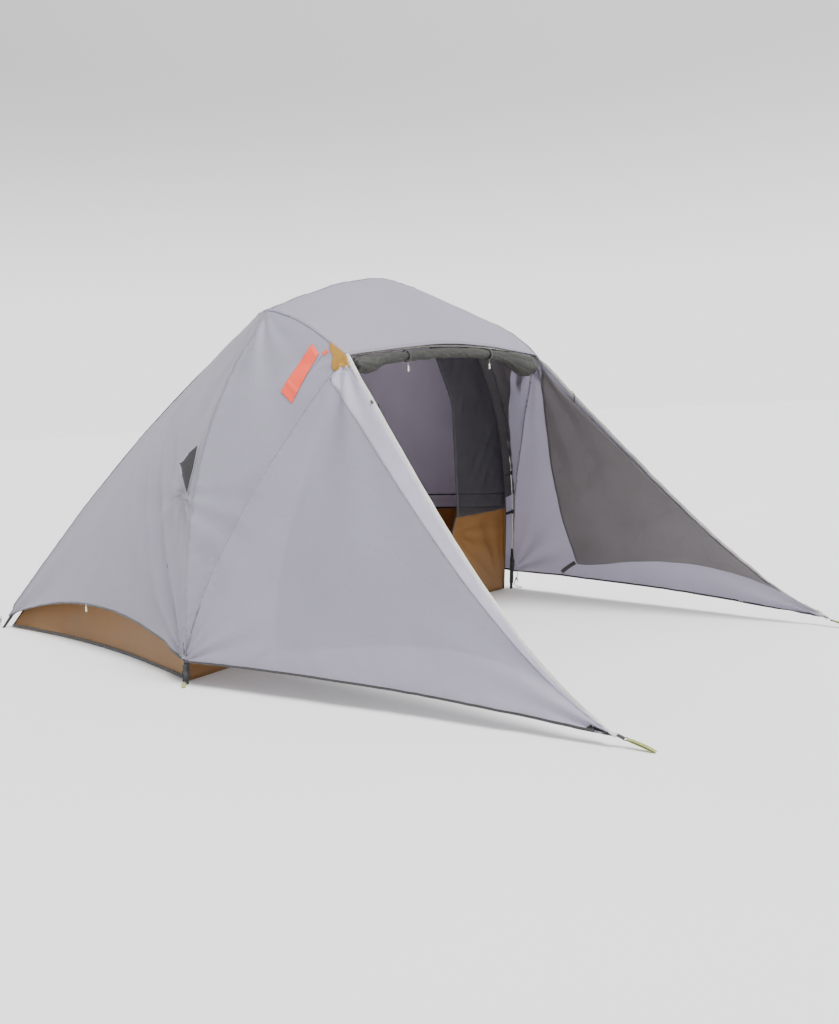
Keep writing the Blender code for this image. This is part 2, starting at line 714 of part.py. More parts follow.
def band(name, centre, along, inner, thickness, width, slot):
    """A flat ring around a roll."""
    along = along.normalized()
    up = Vector((0.0, 0.0, 1.0))
    up = (up - along * up.dot(along)).normalized()
    cross = along.cross(up)
    sides = 16
    bm = bmesh.new()
    loops = []
    corners = ((inner, -width / 2.0), (inner + thickness, -width / 2.0),
               (inner + thickness, width / 2.0), (inner, width / 2.0))
    for radius, shift in corners:
        loops.append([bm.verts.new(centre + along * shift
                                   + (up * math.cos(a) + cross * math.sin(a)) * radius)
                      for a in (2.0 * math.pi * k / sides for k in range(sides))])
    for low, high in zip(loops, loops[1:] + loops[:1]):
        for k in range(sides):
            n = (k + 1) % sides
            bm.faces.new((low[k], low[n], high[n], high[k]))
    add_object(name, bm, slot)


def toggle(name, hook):
    """A small barrel toggle on a short neck, hanging from its hook."""
    levels = [(0.0014, -0.001), (0.0016, -0.012), (0.0042, -0.016), (0.0046, -0.026),
              (0.0042, -0.038), (0.0016, -0.042)]
    points = [hook + Vector((0.0, 0.0, z)) for _, z in levels]
    obj = rod(name, points, [r for r, _ in levels], "toggle_plastic")
    move_origin(obj, hook)


def move_origin(obj, origin):
    """Put an object's origin on its joint without moving its surface."""
    obj.data.transform(Matrix.Translation(-origin))
    obj.location = origin


# ---- small moving pieces ------------------------------------------------------------------
def strip(name, centre_line, width_axis, width, thickness, slot, origin, up):
    """A flat strip of webbing or sheet along a line, with its thickness towards up."""
    bm = bmesh.new()
    rows = []
    for place in centre_line:
        row = []
        for share in (-0.5, 0.5):
            middle = place + width_axis * width * share
            row.append((bm.verts.new(middle + up * thickness / 2.0),
                        bm.verts.new(middle - up * thickness / 2.0)))
        rows.append(row)
    close_grid(bm, rows)
    return add_object(name, bm, slot, origin, smooth=False)


def tip_tabs():
    """Stake loops at the wing tips: webbing that swings on the tip and reaches the ground."""
    for side, word in ((-1, "left"), (1, "right")):
        hook = tip_hook(side)
        end = Vector((side * 0.975, -3.03, 0.0014))
        run = [hook.lerp(end, share) for share in (0.06, 0.35, 0.7, 1.0)]
        slope = (end - hook).normalized()
        across = Vector((1.0, 0.0, 0.0))
        up = slope.cross(across).normalized()
        if up.z < 0.0:
            up = -up
        strip("tip_tab_" + word, run, across, 0.020, 0.0024, "loop_webbing", hook, up)


def tip_hook(side):
    return Vector((side * 0.982, -2.925, 0.030))


def buckles():
    """Ladder-lock buckles on the straps between the fly's corners and the boots."""
    for side, word in ((-1, "left"), (1, "right")):
        for place, start, end in (("front",) + strap_line(side, "front"),
                                  ("rear",) + strap_line(side, "rear")):
            middle = start.lerp(end, 0.5)
            along = (end - start).normalized()
            across = along.cross(Vector((0.0, 0.0, 1.0))).normalized()
            up = across.cross(along).normalized()
            frame_buckle("fly_buckle_" + place + "_" + word, middle, along, across, up)


def strap_line(side, place):
    """A corner strap from beside the boot's foot up to the fly's hem."""
    if place == "front":
        low = Vector((side * (FRONT_HALF + 0.020), -HALF_DEPTH - 0.014, 0.016))
        high = Vector((side * (FRONT_HALF + 0.026), -HALF_DEPTH - 0.030, 0.094))
    else:
        low = Vector((side * (REAR_HALF + 0.012), HALF_DEPTH + 0.020, 0.016))
        high = Vector((side * (REAR_HALF - 0.004), HALF_DEPTH + 0.012, 0.066))
    return low, high


def frame_buckle(name, middle, along, across, up):
    """An open rectangular buckle that the strap runs through."""
    half_w, half_l = 0.0130, 0.0090
    bar, thick = 0.0032, 0.0034
    bm = bmesh.new()
    loops = []
    for grow, lift in ((0.0, 0.5), (bar, 0.5), (bar, -0.5), (0.0, -0.5)):
        loops.append([bm.verts.new(middle + across * (half_w + grow - bar) * sx
                                   + along * (half_l + grow - bar) * sy + up * thick * lift)
                      for sx, sy in ((-1, -1), (1, -1), (1, 1), (-1, 1))])
    for low, high in zip(loops, loops[1:] + loops[:1]):
        for k in range(4):
            n = (k + 1) % 4
            bm.faces.new((low[k], low[n], high[n], high[k]))
    add_object(name, bm, "moulding", middle, smooth=False)


def zip_pulls():
    """Door zip pulls that hang from the top of each wing's front edge."""
    for side, word in ((-1, "left"), (1, "right")):
        hook = zip_hook(side)
        run = [hook + Vector((0.0, 0.0, -drop)) for drop in (0.0015, 0.016, 0.034, 0.050)]
        strip("zip_pull_" + word, run, Vector((0.0, 1.0, 0.0)), 0.007, 0.0022,
              "webbing", hook, Vector((1.0, 0.0, 0.0)))


def zip_hook(side):
    place, outward = wing_edge(side, 0.13)
    return place + outward * FLY_OUT + Vector((side * -0.016, -0.020, -0.004))


def vents():
    """Side vents: a small fabric hood held open by a prop that folds against the fly."""
    for side, word in ((-1, "left"), (1, "right")):
        low, high, free, prop_foot = vent_points(side)
        outward = vent_outward(side)
        bm = bmesh.new()
        rows = []
        for share in (0.0, 0.34, 0.67, 1.0):
            row = []
            for across in (0.0, 0.5, 1.0):
                edge = low.lerp(high, share)
                middle = edge.lerp(free, across * (1.0 - 0.9 * abs(share - 0.45)))
                row.append((bm.verts.new(middle + outward * CLOTH / 2.0),
                            bm.verts.new(middle - outward * CLOTH / 2.0)))
            rows.append(row)
        close_grid(bm, rows)
        add_object("vent_hood_" + word, bm, "fly_fabric", low)
        top = free.lerp(low.lerp(high, 0.45), 0.10) - outward * 0.005
        run = [prop_foot.lerp(top, share) for share in (0.0, 0.5, 1.0)]
        width_axis = (high - low).normalized()
        strip("vent_prop_" + word, run, width_axis, 0.014, 0.0024, "toggle_plastic",
              prop_foot, (top - prop_foot).cross(width_axis).normalized())


def vent_outward(side):
    return side_panel(side, 0.91, 0.52)[1]


def fly_surface(side, u, v, lift):
    place, outward = side_panel(side, u, v)
    return place + outward * (FLY_OUT + CLOTH / 2.0 + lift)


def vent_points(side):
    """Ends of the hood's hinge line, its free corner, and the prop's foot, all off the fly."""
    low = fly_surface(side, 0.945, 0.465, 0.0060)
    high = fly_surface(side, 0.935, 0.60, 0.0060)
    free = fly_surface(side, 0.865, 0.52, 0.062)
    prop_foot = fly_surface(side, 0.872, 0.515, 0.0030)
    return low, high, free, prop_foot


def brow_pockets():
    """Reinforced pockets that hold the brow pole's ends, lying on the fly."""
    for side, word in ((-1, "left"), (1, "right")):
        shell("brow_pocket_" + word, lambda q, r: gusset_panel(side, 0.012 + 0.17 * q * r,
                                                               lerp(0.935, 0.992, r)),
              [0.0, 0.5, 1.0], [0.12, 0.4, 0.7, 1.0], FLY_OUT + 0.0060, "tub_fabric")


def clear_scene():
    for obj in list(bpy.data.objects):
        bpy.data.objects.remove(obj, do_unlink=True)


def main():
    clear_scene()
    poles()
    hubs()
    boots()
    inner_tent()
    fly()
    rolls()
    brow_pockets()
    vents()
    zip_pulls()
    tip_tabs()
    buckles()


main()
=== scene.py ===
"""Looks of the dome tent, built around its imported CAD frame.

Metres, +Z up, the door faces -Y. The cloth follows the same pole lines as the CAD panels, as fine
curved sheets with folds, seams and bindings. Every piece rides on a CAD body.
"""
import json
import math

import bmesh
import bpy
import numpy as np
from mathutils import Matrix, Vector
from mathutils.kdtree import KDTree


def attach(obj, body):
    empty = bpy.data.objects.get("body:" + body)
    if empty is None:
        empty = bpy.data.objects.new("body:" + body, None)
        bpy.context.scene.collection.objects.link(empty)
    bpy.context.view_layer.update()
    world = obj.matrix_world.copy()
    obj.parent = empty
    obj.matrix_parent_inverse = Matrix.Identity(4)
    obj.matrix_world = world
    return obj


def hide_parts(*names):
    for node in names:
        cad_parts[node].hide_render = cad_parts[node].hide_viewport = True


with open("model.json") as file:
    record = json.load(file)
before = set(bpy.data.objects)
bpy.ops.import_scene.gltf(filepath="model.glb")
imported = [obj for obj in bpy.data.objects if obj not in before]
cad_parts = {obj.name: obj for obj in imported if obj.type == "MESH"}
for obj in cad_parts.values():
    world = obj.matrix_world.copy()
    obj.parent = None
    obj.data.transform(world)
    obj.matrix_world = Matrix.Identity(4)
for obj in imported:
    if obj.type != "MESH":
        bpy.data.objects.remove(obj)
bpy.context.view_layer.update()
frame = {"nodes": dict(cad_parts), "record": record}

# ---- driving dimensions, the same as the CAD's ----------------------------------------------
FRONT_HALF = 1.20
REAR_HALF = 0.95
HALF_DEPTH = 0.975
HOOP_LEAN = 0.09
SHOULDER_HALF = 0.72
SHOULDER_Z = 1.545
ARCH_Z = 1.71
LEG_POWER = 3.1
ARCH_POWER = 1.6
CROWN = np.array((0.0, -0.213, 1.59))
REAR_BOW = 0.1836
BROW_HALF = 0.695
BROW_Y = -1.53
BROW_Z = 1.33
BROW_RISE = 0.05
BROW_REACH = 0.03
TIP = (0.98, -2.90, 0.035)
EDGE_SAG = 0.115
HEM_CORNER_Z = 0.105
HEM_REAR_Z = 0.07
HEM_ARCH = 0.135
HEM_INSET = 0.062
FLOOR_BOW = 0.062
FLOOR_FRONT_BOW = 0.045
TUB_Z = 0.52
SILL_Z = 0.10
DOOR_HALF = 0.69
DOOR_TOP = 1.47
DOOR_CORNERS = ((0.62, 1.12), (0.435, 1.42), (0.12, DOOR_TOP), (0.0, DOOR_TOP))
SILL_CORNERS = ((0.62, 0.30), (0.40, 0.147), (0.13, SILL_Z), (0.0, SILL_Z))
POLE_R = 0.0048
FLY_OUT = 0.019
INNER_IN = 0.045
WALL_INSET = 0.004
CLOTH = 0.0010               # thickness of the fly and the painted shade sheets as they show

SIDES = ((-1, "left"), (1, "right"))
TENT = "tent"


# ---- small helpers --------------------------------------------------------------------------
def xyz(x, y, z):
    return np.stack(np.broadcast_arrays(x, y, z), axis=-1).astype(float)


def unit(vectors):
    length = np.linalg.norm(vectors, axis=-1, keepdims=True)
    return vectors / np.maximum(length, 1e-9)


def mix(a, b, t):
    t = np.asarray(t, float)
    if t.ndim:
        t = t[..., None]
    return a + (b - a) * t


def raised(line, offset=FLY_OUT):
    """The places of a line or a panel, moved out along its directions."""
    place, outward = line
    return place + outward * offset


def hump(t):
    return 4.0 * t * (1.0 - t)


def smooth(x):
    x = np.clip(x, 0.0, 1.0)
    return x * x * (3.0 - 2.0 * x)


def noise(points, cell, seed=0):
    """Smooth repeatable noise from -1 to 1, with one random value at each lattice point."""
    q = np.asarray(points, float) / cell
    base = np.floor(q).astype(np.int64)
    f = q - base
    f = f * f * (3.0 - 2.0 * f)
    total = np.zeros(q.shape[:-1])
    for corner in range(8):
        bit = np.array([corner & 1, corner >> 1 & 1, corner >> 2 & 1])
        i = base + bit
        mixed = (i[..., 0] * 73856093) ^ (i[..., 1] * 19349663) ^ (i[..., 2] * 83492791)
        mixed = (mixed ^ (seed * 2654435761)) & 0xFFFFFFFF
        mixed = ((mixed ^ (mixed >> 15)) * 2246822519) & 0xFFFFFFFF
        mixed = ((mixed ^ (mixed >> 13)) * 3266489917) & 0xFFFFFFFF
        value = (mixed ^ (mixed >> 16)) / 2147483648.0 - 1.0
        weight = np.prod(np.where(bit, f, 1.0 - f), axis=-1)
        total += value * weight
    return total


# ---- the tent's lines: each returns places and outward directions ---------------------------
def corner_direction(kind, side):
    outward = {
        "crown": (0.0, 0.10, 1.0),
        "shoulder": (0.60 * side, -0.25, 0.76),
        "brow": (0.55 * side, -0.45, 0.70),
        "front_foot": (0.72 * side, -0.66, 0.0),
        "rear_foot": (0.60 * side, 0.70, 0.0),
        "tip": (1.0 * side, -0.10, 0.25),
    }[kind]
    return unit(np.array(outward))


def line_direction(start, end, side, t):
    return unit(mix(corner_direction(start, side), corner_direction(end, side), t))


def across_direction(kind, t):
    return unit(mix(corner_direction(kind, -1), corner_direction(kind, 1), t))


def hoop_y(z):
    return -HALF_DEPTH - HOOP_LEAN * z


def front_leg(side, t):
    z = SHOULDER_Z * t
    x = FRONT_HALF - (FRONT_HALF - SHOULDER_HALF) * t ** LEG_POWER
    return xyz(side * x, hoop_y(z), z), line_direction("front_foot", "shoulder", side, t)


def rear_leg(side, t):
    foot = np.array((side * REAR_HALF, HALF_DEPTH))
    run = np.linalg.norm(foot - CROWN[:2])
    pitch = CROWN[2] / run + REAR_BOW * run
    z = CROWN[2] * t
    s = (pitch - np.sqrt(np.maximum(pitch * pitch - 4.0 * REAR_BOW * z, 0.0))) / (2.0 * REAR_BOW)
    share = s / run
    x = foot[0] + (CROWN[0] - foot[0]) * share
    y = foot[1] + (CROWN[1] - foot[1]) * share
    return xyz(x, y, z), line_direction("rear_foot", "crown", side, t)


def roof_arch(s):
    z = ARCH_Z - (ARCH_Z - SHOULDER_Z) * np.abs(s) ** ARCH_POWER
    return xyz(SHOULDER_HALF * s, hoop_y(z), z), across_direction("shoulder", 0.5 * (s + 1.0))


def roof_arm(side, t):
    shoulder = front_leg(side, np.array(1.0))[0]
    place = mix(CROWN, shoulder, t) + xyz(0.0, 0.0, 0.012 * hump(t))
    return place, line_direction("crown", "shoulder", side, t)


def brow(s):
    rise = 1.0 - s * s
    place = xyz(BROW_HALF * s, BROW_Y - BROW_REACH * rise, BROW_Z + BROW_RISE * rise)
    return place, across_direction("brow", 0.5 * (s + 1.0))


def brow_end(side):
    return brow(np.array(float(side)))[0]


def shoulder_seam(side, t):
    shoulder = front_leg(side, np.array(1.0))[0]
    place = mix(shoulder, brow_end(side), t) + xyz(0.020 * side, 0.0, 0.040) * hump(t)[..., None]
    return place, line_direction("shoulder", "brow", side, t)


def fly_front_leg(side, t):
    low = HEM_CORNER_Z / SHOULDER_Z
    return front_leg(side, low * (1 - t) + t)[0], line_direction("front_foot", "shoulder", side, t)


def fly_rear_leg(side, t):
    low = HEM_REAR_Z / CROWN[2]
    return rear_leg(side, low + (1.0 - low) * t)[0], line_direction("rear_foot", "crown", side, t)


def fly_corner(side):
    return fly_front_leg(side, np.array(0.0))[0]


def wing_seam(side, t):
    foot, top = fly_corner(side), brow_end(side)
    place = xyz(foot[0] + (top[0] - foot[0]) * t ** 1.25,
                foot[1] + (top[1] - foot[1]) * t ** 1.5,
                foot[2] + (top[2] - foot[2]) * t)
    return place, line_direction("front_foot", "brow", side, t)


def wing_tip(side):
    return np.array((TIP[0] * side, TIP[1], TIP[2]))


def wing_edge(side, t):
    top, tip = brow_end(side), wing_tip(side)
    sag = EDGE_SAG * hump(t) * (0.5 + t)
    place = xyz(top[0] + (tip[0] - top[0]) * (1.0 - (1.0 - t) ** 1.4),
                top[1] + (tip[1] - top[1]) * t,
                top[2] + (tip[2] - top[2]) * t - sag)
    return place, line_direction("brow", "tip", side, t)


def wing_hem(side, t):
    place = mix(fly_corner(side), wing_tip(side), t) + xyz(0.0, 0.0, 0.025 * hump(t))
    return place, line_direction("front_foot", "tip", side, t)


def side_hem(side, t):
    rear = fly_rear_leg(side, np.array(0.0))[0]
    place = mix(rear, fly_corner(side), t)
    place = place + xyz(-side * HEM_INSET * hump(t), 0.0, HEM_ARCH * hump(t))
    return place, line_direction("rear_foot", "front_foot", side, t)


def rear_hem(t):
    left, right = (fly_rear_leg(s, np.array(0.0))[0] for s in (-1, 1))
    place = mix(left, right, t) + xyz(0.0, -0.05 * hump(t), 0.11 * hump(t))
    return place, across_direction("rear_foot", t)


def floor_side(side, t):
    place = mix(rear_leg(side, np.array(0.0))[0], front_leg(side, np.array(0.0))[0], t)
    place = place + xyz(-side * FLOOR_BOW * hump(t), 0.0, 0.0)
    return place, line_direction("rear_foot", "front_foot", side, t)


def floor_rear(t):
    left, right = (rear_leg(s, np.array(0.0))[0] for s in (-1, 1))
    place = mix(left, right, t) + xyz(0.0, -0.05 * hump(t), 0.0)
    return place, across_direction("rear_foot", t)


def crown_point(t):
    shape = np.shape(t) + (3,)
    return np.broadcast_to(CROWN, shape), np.broadcast_to(corner_direction("crown", 1), shape)


# ---- panels: places and directions over two grids of shares, u and v ------------------------
def coons(bottom, top, left, right, u, v):
    u, v = np.broadcast_arrays(np.asarray(u, float), np.asarray(v, float))
    zero, one = np.zeros_like(u), np.ones_like(u)
    parts = []
    for i in (0, 1):
        across = mix(left(v)[i], right(v)[i], u)
        upward = mix(bottom(u)[i], top(u)[i], v)
        corners = mix(mix(bottom(zero)[i], bottom(one)[i], u), mix(top(zero)[i], top(one)[i], u), v)
        parts.append(across + upward - corners)
    return parts[0], unit(parts[1])


def side_panel(side, u, v):
    return coons(lambda t: side_hem(side, t), lambda t: roof_arm(side, t),
                 lambda t: fly_rear_leg(side, t), lambda t: fly_front_leg(side, t), u, v)


def rear_panel(u, v):
    return coons(rear_hem, crown_point,
                 lambda t: fly_rear_leg(-1, t), lambda t: fly_rear_leg(1, t), u, v)


def roof_panel(u, v):
    return coons(lambda t: roof_arch(2.0 * t - 1.0), crown_point,
                 lambda t: roof_arm(-1, 1.0 - t), lambda t: roof_arm(1, 1.0 - t), u, v)


def brow_panel(u, v):
    return coons(lambda t: brow(2.0 * t - 1.0), lambda t: roof_arch(2.0 * t - 1.0),
                 lambda t: shoulder_seam(-1, 1.0 - t), lambda t: shoulder_seam(1, 1.0 - t), u, v)


def still(point, t):
    """One place and its direction, repeated for every share: a panel's side shrunk to a point."""
    return tuple(np.broadcast_to(part, np.shape(t) + (3,)) for part in point)


def gusset_panel(side, u, v):
    foot = fly_front_leg(side, np.array(0.0))
    return coons(lambda t: still(foot, t), lambda t: shoulder_seam(side, 1.0 - t),
                 lambda t: wing_seam(side, t), lambda t: fly_front_leg(side, t), u, v)


def wing_panel(side, u, v):
    tip = wing_hem(side, np.array(1.0))
    return coons(lambda t: wing_hem(side, t), lambda t: wing_edge(side, t),
                 lambda t: wing_seam(side, t), lambda t: still(tip, t), u, v)


def inner_side_panel(side, u, v):
    return coons(lambda t: floor_side(side, t), lambda t: roof_arm(side, t),
                 lambda t: rear_leg(side, t), lambda t: front_leg(side, t), u, v)


def inner_rear_panel(u, v):
    return coons(floor_rear, crown_point,
                 lambda t: rear_leg(-1, t), lambda t: rear_leg(1, t), u, v)


def spread(panel, us, vs, offset, *side):
    """A panel sampled at every pair of shares and moved out by offset; side where it has one."""
    return raised(panel(*side, *np.meshgrid(us, vs)), offset)


# ---- materials ------------------------------------------------------------------------------
def feed(tree, node, inputs):
    """Set a shader node's inputs, each from a value or from another node's output."""
    for key, value in inputs.items():
        if isinstance(value, bpy.types.NodeSocket):
            tree.links.new(value, node.inputs[key])
        else:
            node.inputs[key].default_value = value


def add(tree, kind, inputs, **settings):
    made = tree.nodes.new(kind)
    for key, value in settings.items():
        setattr(made, key, value)
    feed(tree, made, inputs)
    return made


def new_material(name, **inputs):
    """A material, its node tree and its shader."""
    mat = bpy.data.materials.new(name)
    mat.use_nodes = True
    shader = mat.node_tree.nodes["Principled BSDF"]
    feed(mat.node_tree, shader, {key.replace("_", " "): value for key, value in inputs.items()})
    return mat, mat.node_tree, shader


def where(tree, space="Object"):
    return add(tree, "ShaderNodeTexCoord", {}).outputs[space]


def clouds(tree, scale, detail, roughness=0.5, distortion=0.0):
    """Noise in the object's own coordinates."""
    inputs = {"Vector": where(tree), "Scale": scale, "Detail": detail, "Roughness": roughness,
              "Distortion": distortion}
    return add(tree, "ShaderNodeTexNoise", inputs).outputs["Fac"]


def waves(tree, axis, pitch, distortion=0.0, detail_scale=1.0):
    """Bands across the cloth, one every pitch metres; a wave node repeats every 0.314 / scale."""
    inputs = {"Vector": where(tree, "UV"), "Scale": 0.314 / pitch, "Distortion": distortion,
              "Detail Scale": detail_scale}
    return add(tree, "ShaderNodeTexWave", inputs, bands_direction=axis).outputs["Fac"]


def maths(tree, operation, *values):
    return add(tree, "ShaderNodeMath", dict(enumerate(values)), operation=operation).outputs[0]


def blend(tree, kind, factor, a, b):
    return add(tree, "ShaderNodeMix", {"Factor": factor, "A": a, "B": b},
               data_type="RGBA", blend_type=kind).outputs["Result"]


def ranged(tree, value, low, high, start=0.0, end=1.0):
    """A value from start to end taken to one from low to high."""
    return add(tree, "ShaderNodeMapRange", {"Value": value, "From Min": start, "From Max": end,
                                            "To Min": low, "To Max": high}).outputs["Result"]


def ramp(tree, value, low, high, start=0.3, end=0.7):
    """A colour ramp between two colours, fed by a texture's value."""
    made = add(tree, "ShaderNodeValToRGB", {"Fac": value})
    stops = made.color_ramp.elements
    stops[0].position, stops[1].position = start, end
    stops[0].color, stops[1].color = (*low, 1.0), (*high, 1.0)
    return made.outputs["Color"]


def bump(tree, height, strength, distance, **under):
    inputs = {"Height": height, "Strength": strength, "Distance": distance, **under}
    return add(tree, "ShaderNodeBump", inputs).outputs["Normal"]


def shade(colour, factor):
    return tuple(min(1.0, c * factor) for c in colour)


def cloth_material(name, colour, roughness, sheen, thread=0.0012, ripstop=0.0, see_light=0.0,
                   mottle=0.06, light_colour=None, dirt=None):
    """Woven cloth: threads both ways, an optional ripstop grid, uneven dye and faint creases."""
    mat, tree, shader = new_material(name, Sheen_Weight=sheen)
    dye = clouds(tree, 3.0, 5.0, 0.6)
    base = ramp(tree, dye, shade(colour, 1.0 - mottle), shade(colour, 1.0 + mottle))
    weave = maths(tree, "MULTIPLY", *(waves(tree, axis, thread, 0.6, 2.0) for axis in "XY"))
    base = blend(tree, "MULTIPLY", 0.16, base, weave)
    height = weave
    if ripstop:
        lines = (maths(tree, "POWER", waves(tree, axis, ripstop), 14.0) for axis in "XY")
        grid = maths(tree, "MAXIMUM", *lines)
        height = maths(tree, "MULTIPLY_ADD", grid, 1.6, weave)
        faint = maths(tree, "MULTIPLY", grid, 0.22)
        base = blend(tree, "MIX", faint, base, (*shade(colour, 1.22), 1.0))
    if dirt is not None:
        base = dusty(tree, base, dirt)
    fine = bump(tree, height, 0.35, 0.0003)
    creased = bump(tree, clouds(tree, 26.0, 3.0, distortion=1.2), 0.40, 0.006, Normal=fine)
    gloss = ranged(tree, dye, roughness - 0.06, roughness + 0.08)
    feed(tree, shader, {"Base Color": base, "Normal": creased, "Roughness": gloss})
    if see_light:
        glow = add(tree, "ShaderNodeBsdfTranslucent", {"Color": (*(light_colour or colour), 1.0)})
        both = add(tree, "ShaderNodeMixShader",
                   {"Fac": see_light, 1: shader.outputs["BSDF"], 2: glow.outputs["BSDF"]})
        feed(tree, tree.nodes["Material Output"], {"Surface": both.outputs["Shader"]})
    return mat


def dusty(tree, base, dirt):
    """Dust that gathers towards the ground."""
    parts = add(tree, "ShaderNodeSeparateXYZ", {"Vector": where(tree)})
    low = ranged(tree, parts.outputs["Z"], 0.0, 1.0, 0.32, 0.0)
    amount = maths(tree, "MULTIPLY", low, clouds(tree, 14.0, 6.0))
    return blend(tree, "MIX", maths(tree, "MULTIPLY", amount, 0.45), base, (*dirt, 1.0))


def mesh_material(name, colour, open_share, pitch=0.0022):
    """Fine netting: solid threads around small holes."""
    mat, tree, shader = new_material(name, Roughness=0.7)
    cells = add(tree, "ShaderNodeTexVoronoi",
                {"Vector": where(tree, "UV"), "Scale": 1.0 / pitch, "Randomness": 0.15},
                feature="DISTANCE_TO_EDGE")
    edge = 0.5 * (1.0 - math.sqrt(open_share))
    thread = ranged(tree, cells.outputs["Distance"], 1.0, 0.10, edge - 0.06, edge + 0.06)
    base = ramp(tree, clouds(tree, 5.0, 4.0), shade(colour, 0.8), shade(colour, 1.25))
    feed(tree, shader, {"Alpha": thread, "Base Color": base})
    return mat


def tape_material(name, colour, rib=0.0014, roughness=0.75, stitch=None):
    """Woven tape: ribs across it, and a line of stitches near each edge if asked."""
    mat, tree, shader = new_material(name, Roughness=roughness, Sheen_Weight=0.25)
    ribs = waves(tree, "X", rib, 0.8)
    base = ramp(tree, clouds(tree, 160.0, 3.0), shade(colour, 0.75), shade(colour, 1.3))
    base = blend(tree, "MULTIPLY", 0.35, base, ribs)
    if stitch is not None:
        dashes = add(tree, "ShaderNodeTexBrick",
                     {"Vector": where(tree, "UV"), "Scale": 1.0, "Brick Width": 0.0034,
                      "Row Height": 0.0042, "Mortar Size": 0.0016, "Mortar Smooth": 0.2}, offset=0.0)
        base = blend(tree, "MIX", dashes.outputs["Fac"], (*stitch, 1.0), base)
    feed(tree, shader, {"Base Color": base, "Normal": bump(tree, ribs, 0.6, 0.0005)})
    return mat


def alloy_material():
    mat, tree, shader = new_material("pole_alloy_finish", Metallic=1.0, Coat_Weight=0.2)
    drawn = clouds(tree, 90.0, 4.0, distortion=0.3)
    feed(tree, shader, {"Base Color": ramp(tree, drawn, (0.50, 0.48, 0.43), (0.74, 0.72, 0.66)),
                        "Roughness": ranged(tree, drawn, 0.22, 0.46)})
    return mat


def plastic_material(name, colour, roughness=0.45):
    mat, tree, shader = new_material(name)
    scuffs = clouds(tree, 40.0, 6.0, 0.7)
    base = ramp(tree, scuffs, shade(colour, 0.85), shade(colour, 1.2), 0.35, 0.75)
    grain = bump(tree, clouds(tree, 420.0, 2.0), 0.4, 0.0004)
    rubbed = ranged(tree, scuffs, roughness - 0.12, roughness + 0.12)
    feed(tree, shader, {"Base Color": base, "Normal": grain, "Roughness": rubbed})
    return mat


GREY = (0.400, 0.384, 0.470)
FINISH = {
    "fly": cloth_material("fly_finish", GREY, 0.50, 0.12, ripstop=0.006, see_light=0.37,
                          mottle=0.045, light_colour=(0.70, 0.67, 0.76)),
    # darker copy of the fly's grey: painted shade of the puckered seams, the brow's edge and the tab
    # stitching
    "seam": cloth_material("fly_seam_painted_shade_finish", shade(GREY, 0.62), 0.6, 0.1, see_light=0.08),
    # lighter copy of the fly's grey: painted highlight, for the wings' edge bands and the vent bindings
    "band": cloth_material("edge_band_painted_highlight_finish", shade(GREY, 1.25), 0.6, 0.1, see_light=0.10),
    # dark grey sheets: painted shade inside the wings and the front corners
    "painted_shade_liner": cloth_material("painted_shade_liner_finish", (0.215, 0.20, 0.21), 0.6, 0.04, ripstop=0.006,
                            see_light=0.30, mottle=0.10, light_colour=(0.38, 0.35, 0.37)),
    # near-black: painted shade in the front corners past the poles
    "painted_shade_flap": cloth_material("corner_painted_shade_flap_finish", (0.060, 0.056, 0.060), 0.6, 0.02,
                                 ripstop=0.006, mottle=0.12),
    "roll": cloth_material("door_roll_finish", (0.026, 0.026, 0.022), 0.6, 0.0, mottle=0.3),
    "inner": cloth_material("inner_finish", (0.48, 0.455, 0.50), 0.7, 0.1, ripstop=0.005,
                            see_light=0.55, mottle=0.05, light_colour=(0.92, 0.88, 0.95)),
    "tub": cloth_material("tub_finish", (0.38, 0.195, 0.055), 0.5, 0.03, ripstop=0.005,
                          see_light=0.40, mottle=0.09, dirt=(0.30, 0.25, 0.19),
                          light_colour=(0.72, 0.36, 0.10)),
    "floor": cloth_material("tub_floor_finish", (0.29, 0.165, 0.062), 0.5, 0.1, ripstop=0.005,
                            mottle=0.12),
    "patch": cloth_material("brow_patch_finish", (0.36, 0.19, 0.02), 0.6, 0.03, thread=0.0018),
    "orange": cloth_material("bright_strip_finish", (0.90, 0.085, 0.04), 0.5, 0.02, mottle=0.05),
    "mesh": mesh_material("inner_mesh_finish", (0.035, 0.033, 0.037), 0.30),
    "rolled_mesh": cloth_material("rolled_mesh_finish", (0.026, 0.024, 0.028), 0.7, 0.03,
                                  thread=0.0022, mottle=0.2),
    "black_tape": tape_material("black_tape_finish", (0.022, 0.022, 0.024)),
    "stitched_tape": tape_material("stitched_tape_finish", (0.022, 0.022, 0.024),
                                   stitch=(0.10, 0.10, 0.10)),
    "white_tape": tape_material("zip_tape_finish", (0.66, 0.65, 0.64), stitch=(0.45, 0.45, 0.46)),
    "green_tape": tape_material("loop_tape_finish", (0.34, 0.36, 0.10), rib=0.0020),
    # near-black: partly the vent mesh's own colour, partly painted shade of the hollow under the hood
    "window": cloth_material("vent_mesh_and_painted_shade_finish", (0.030, 0.028, 0.032), 0.7, 0.03, thread=0.0024),
    "alloy": alloy_material(),
    "moulding": plastic_material("moulding_finish", (0.028, 0.028, 0.03)),
    "pale": plastic_material("pale_plastic_finish", (0.70, 0.68, 0.60), 0.4),
}


# ---- meshes ---------------------------------------------------------------------------------
def show(name, mesh, mat):
    mesh.materials.append(mat)
    obj = bpy.data.objects.new(name, mesh)
    bpy.context.scene.collection.objects.link(obj)
    return obj


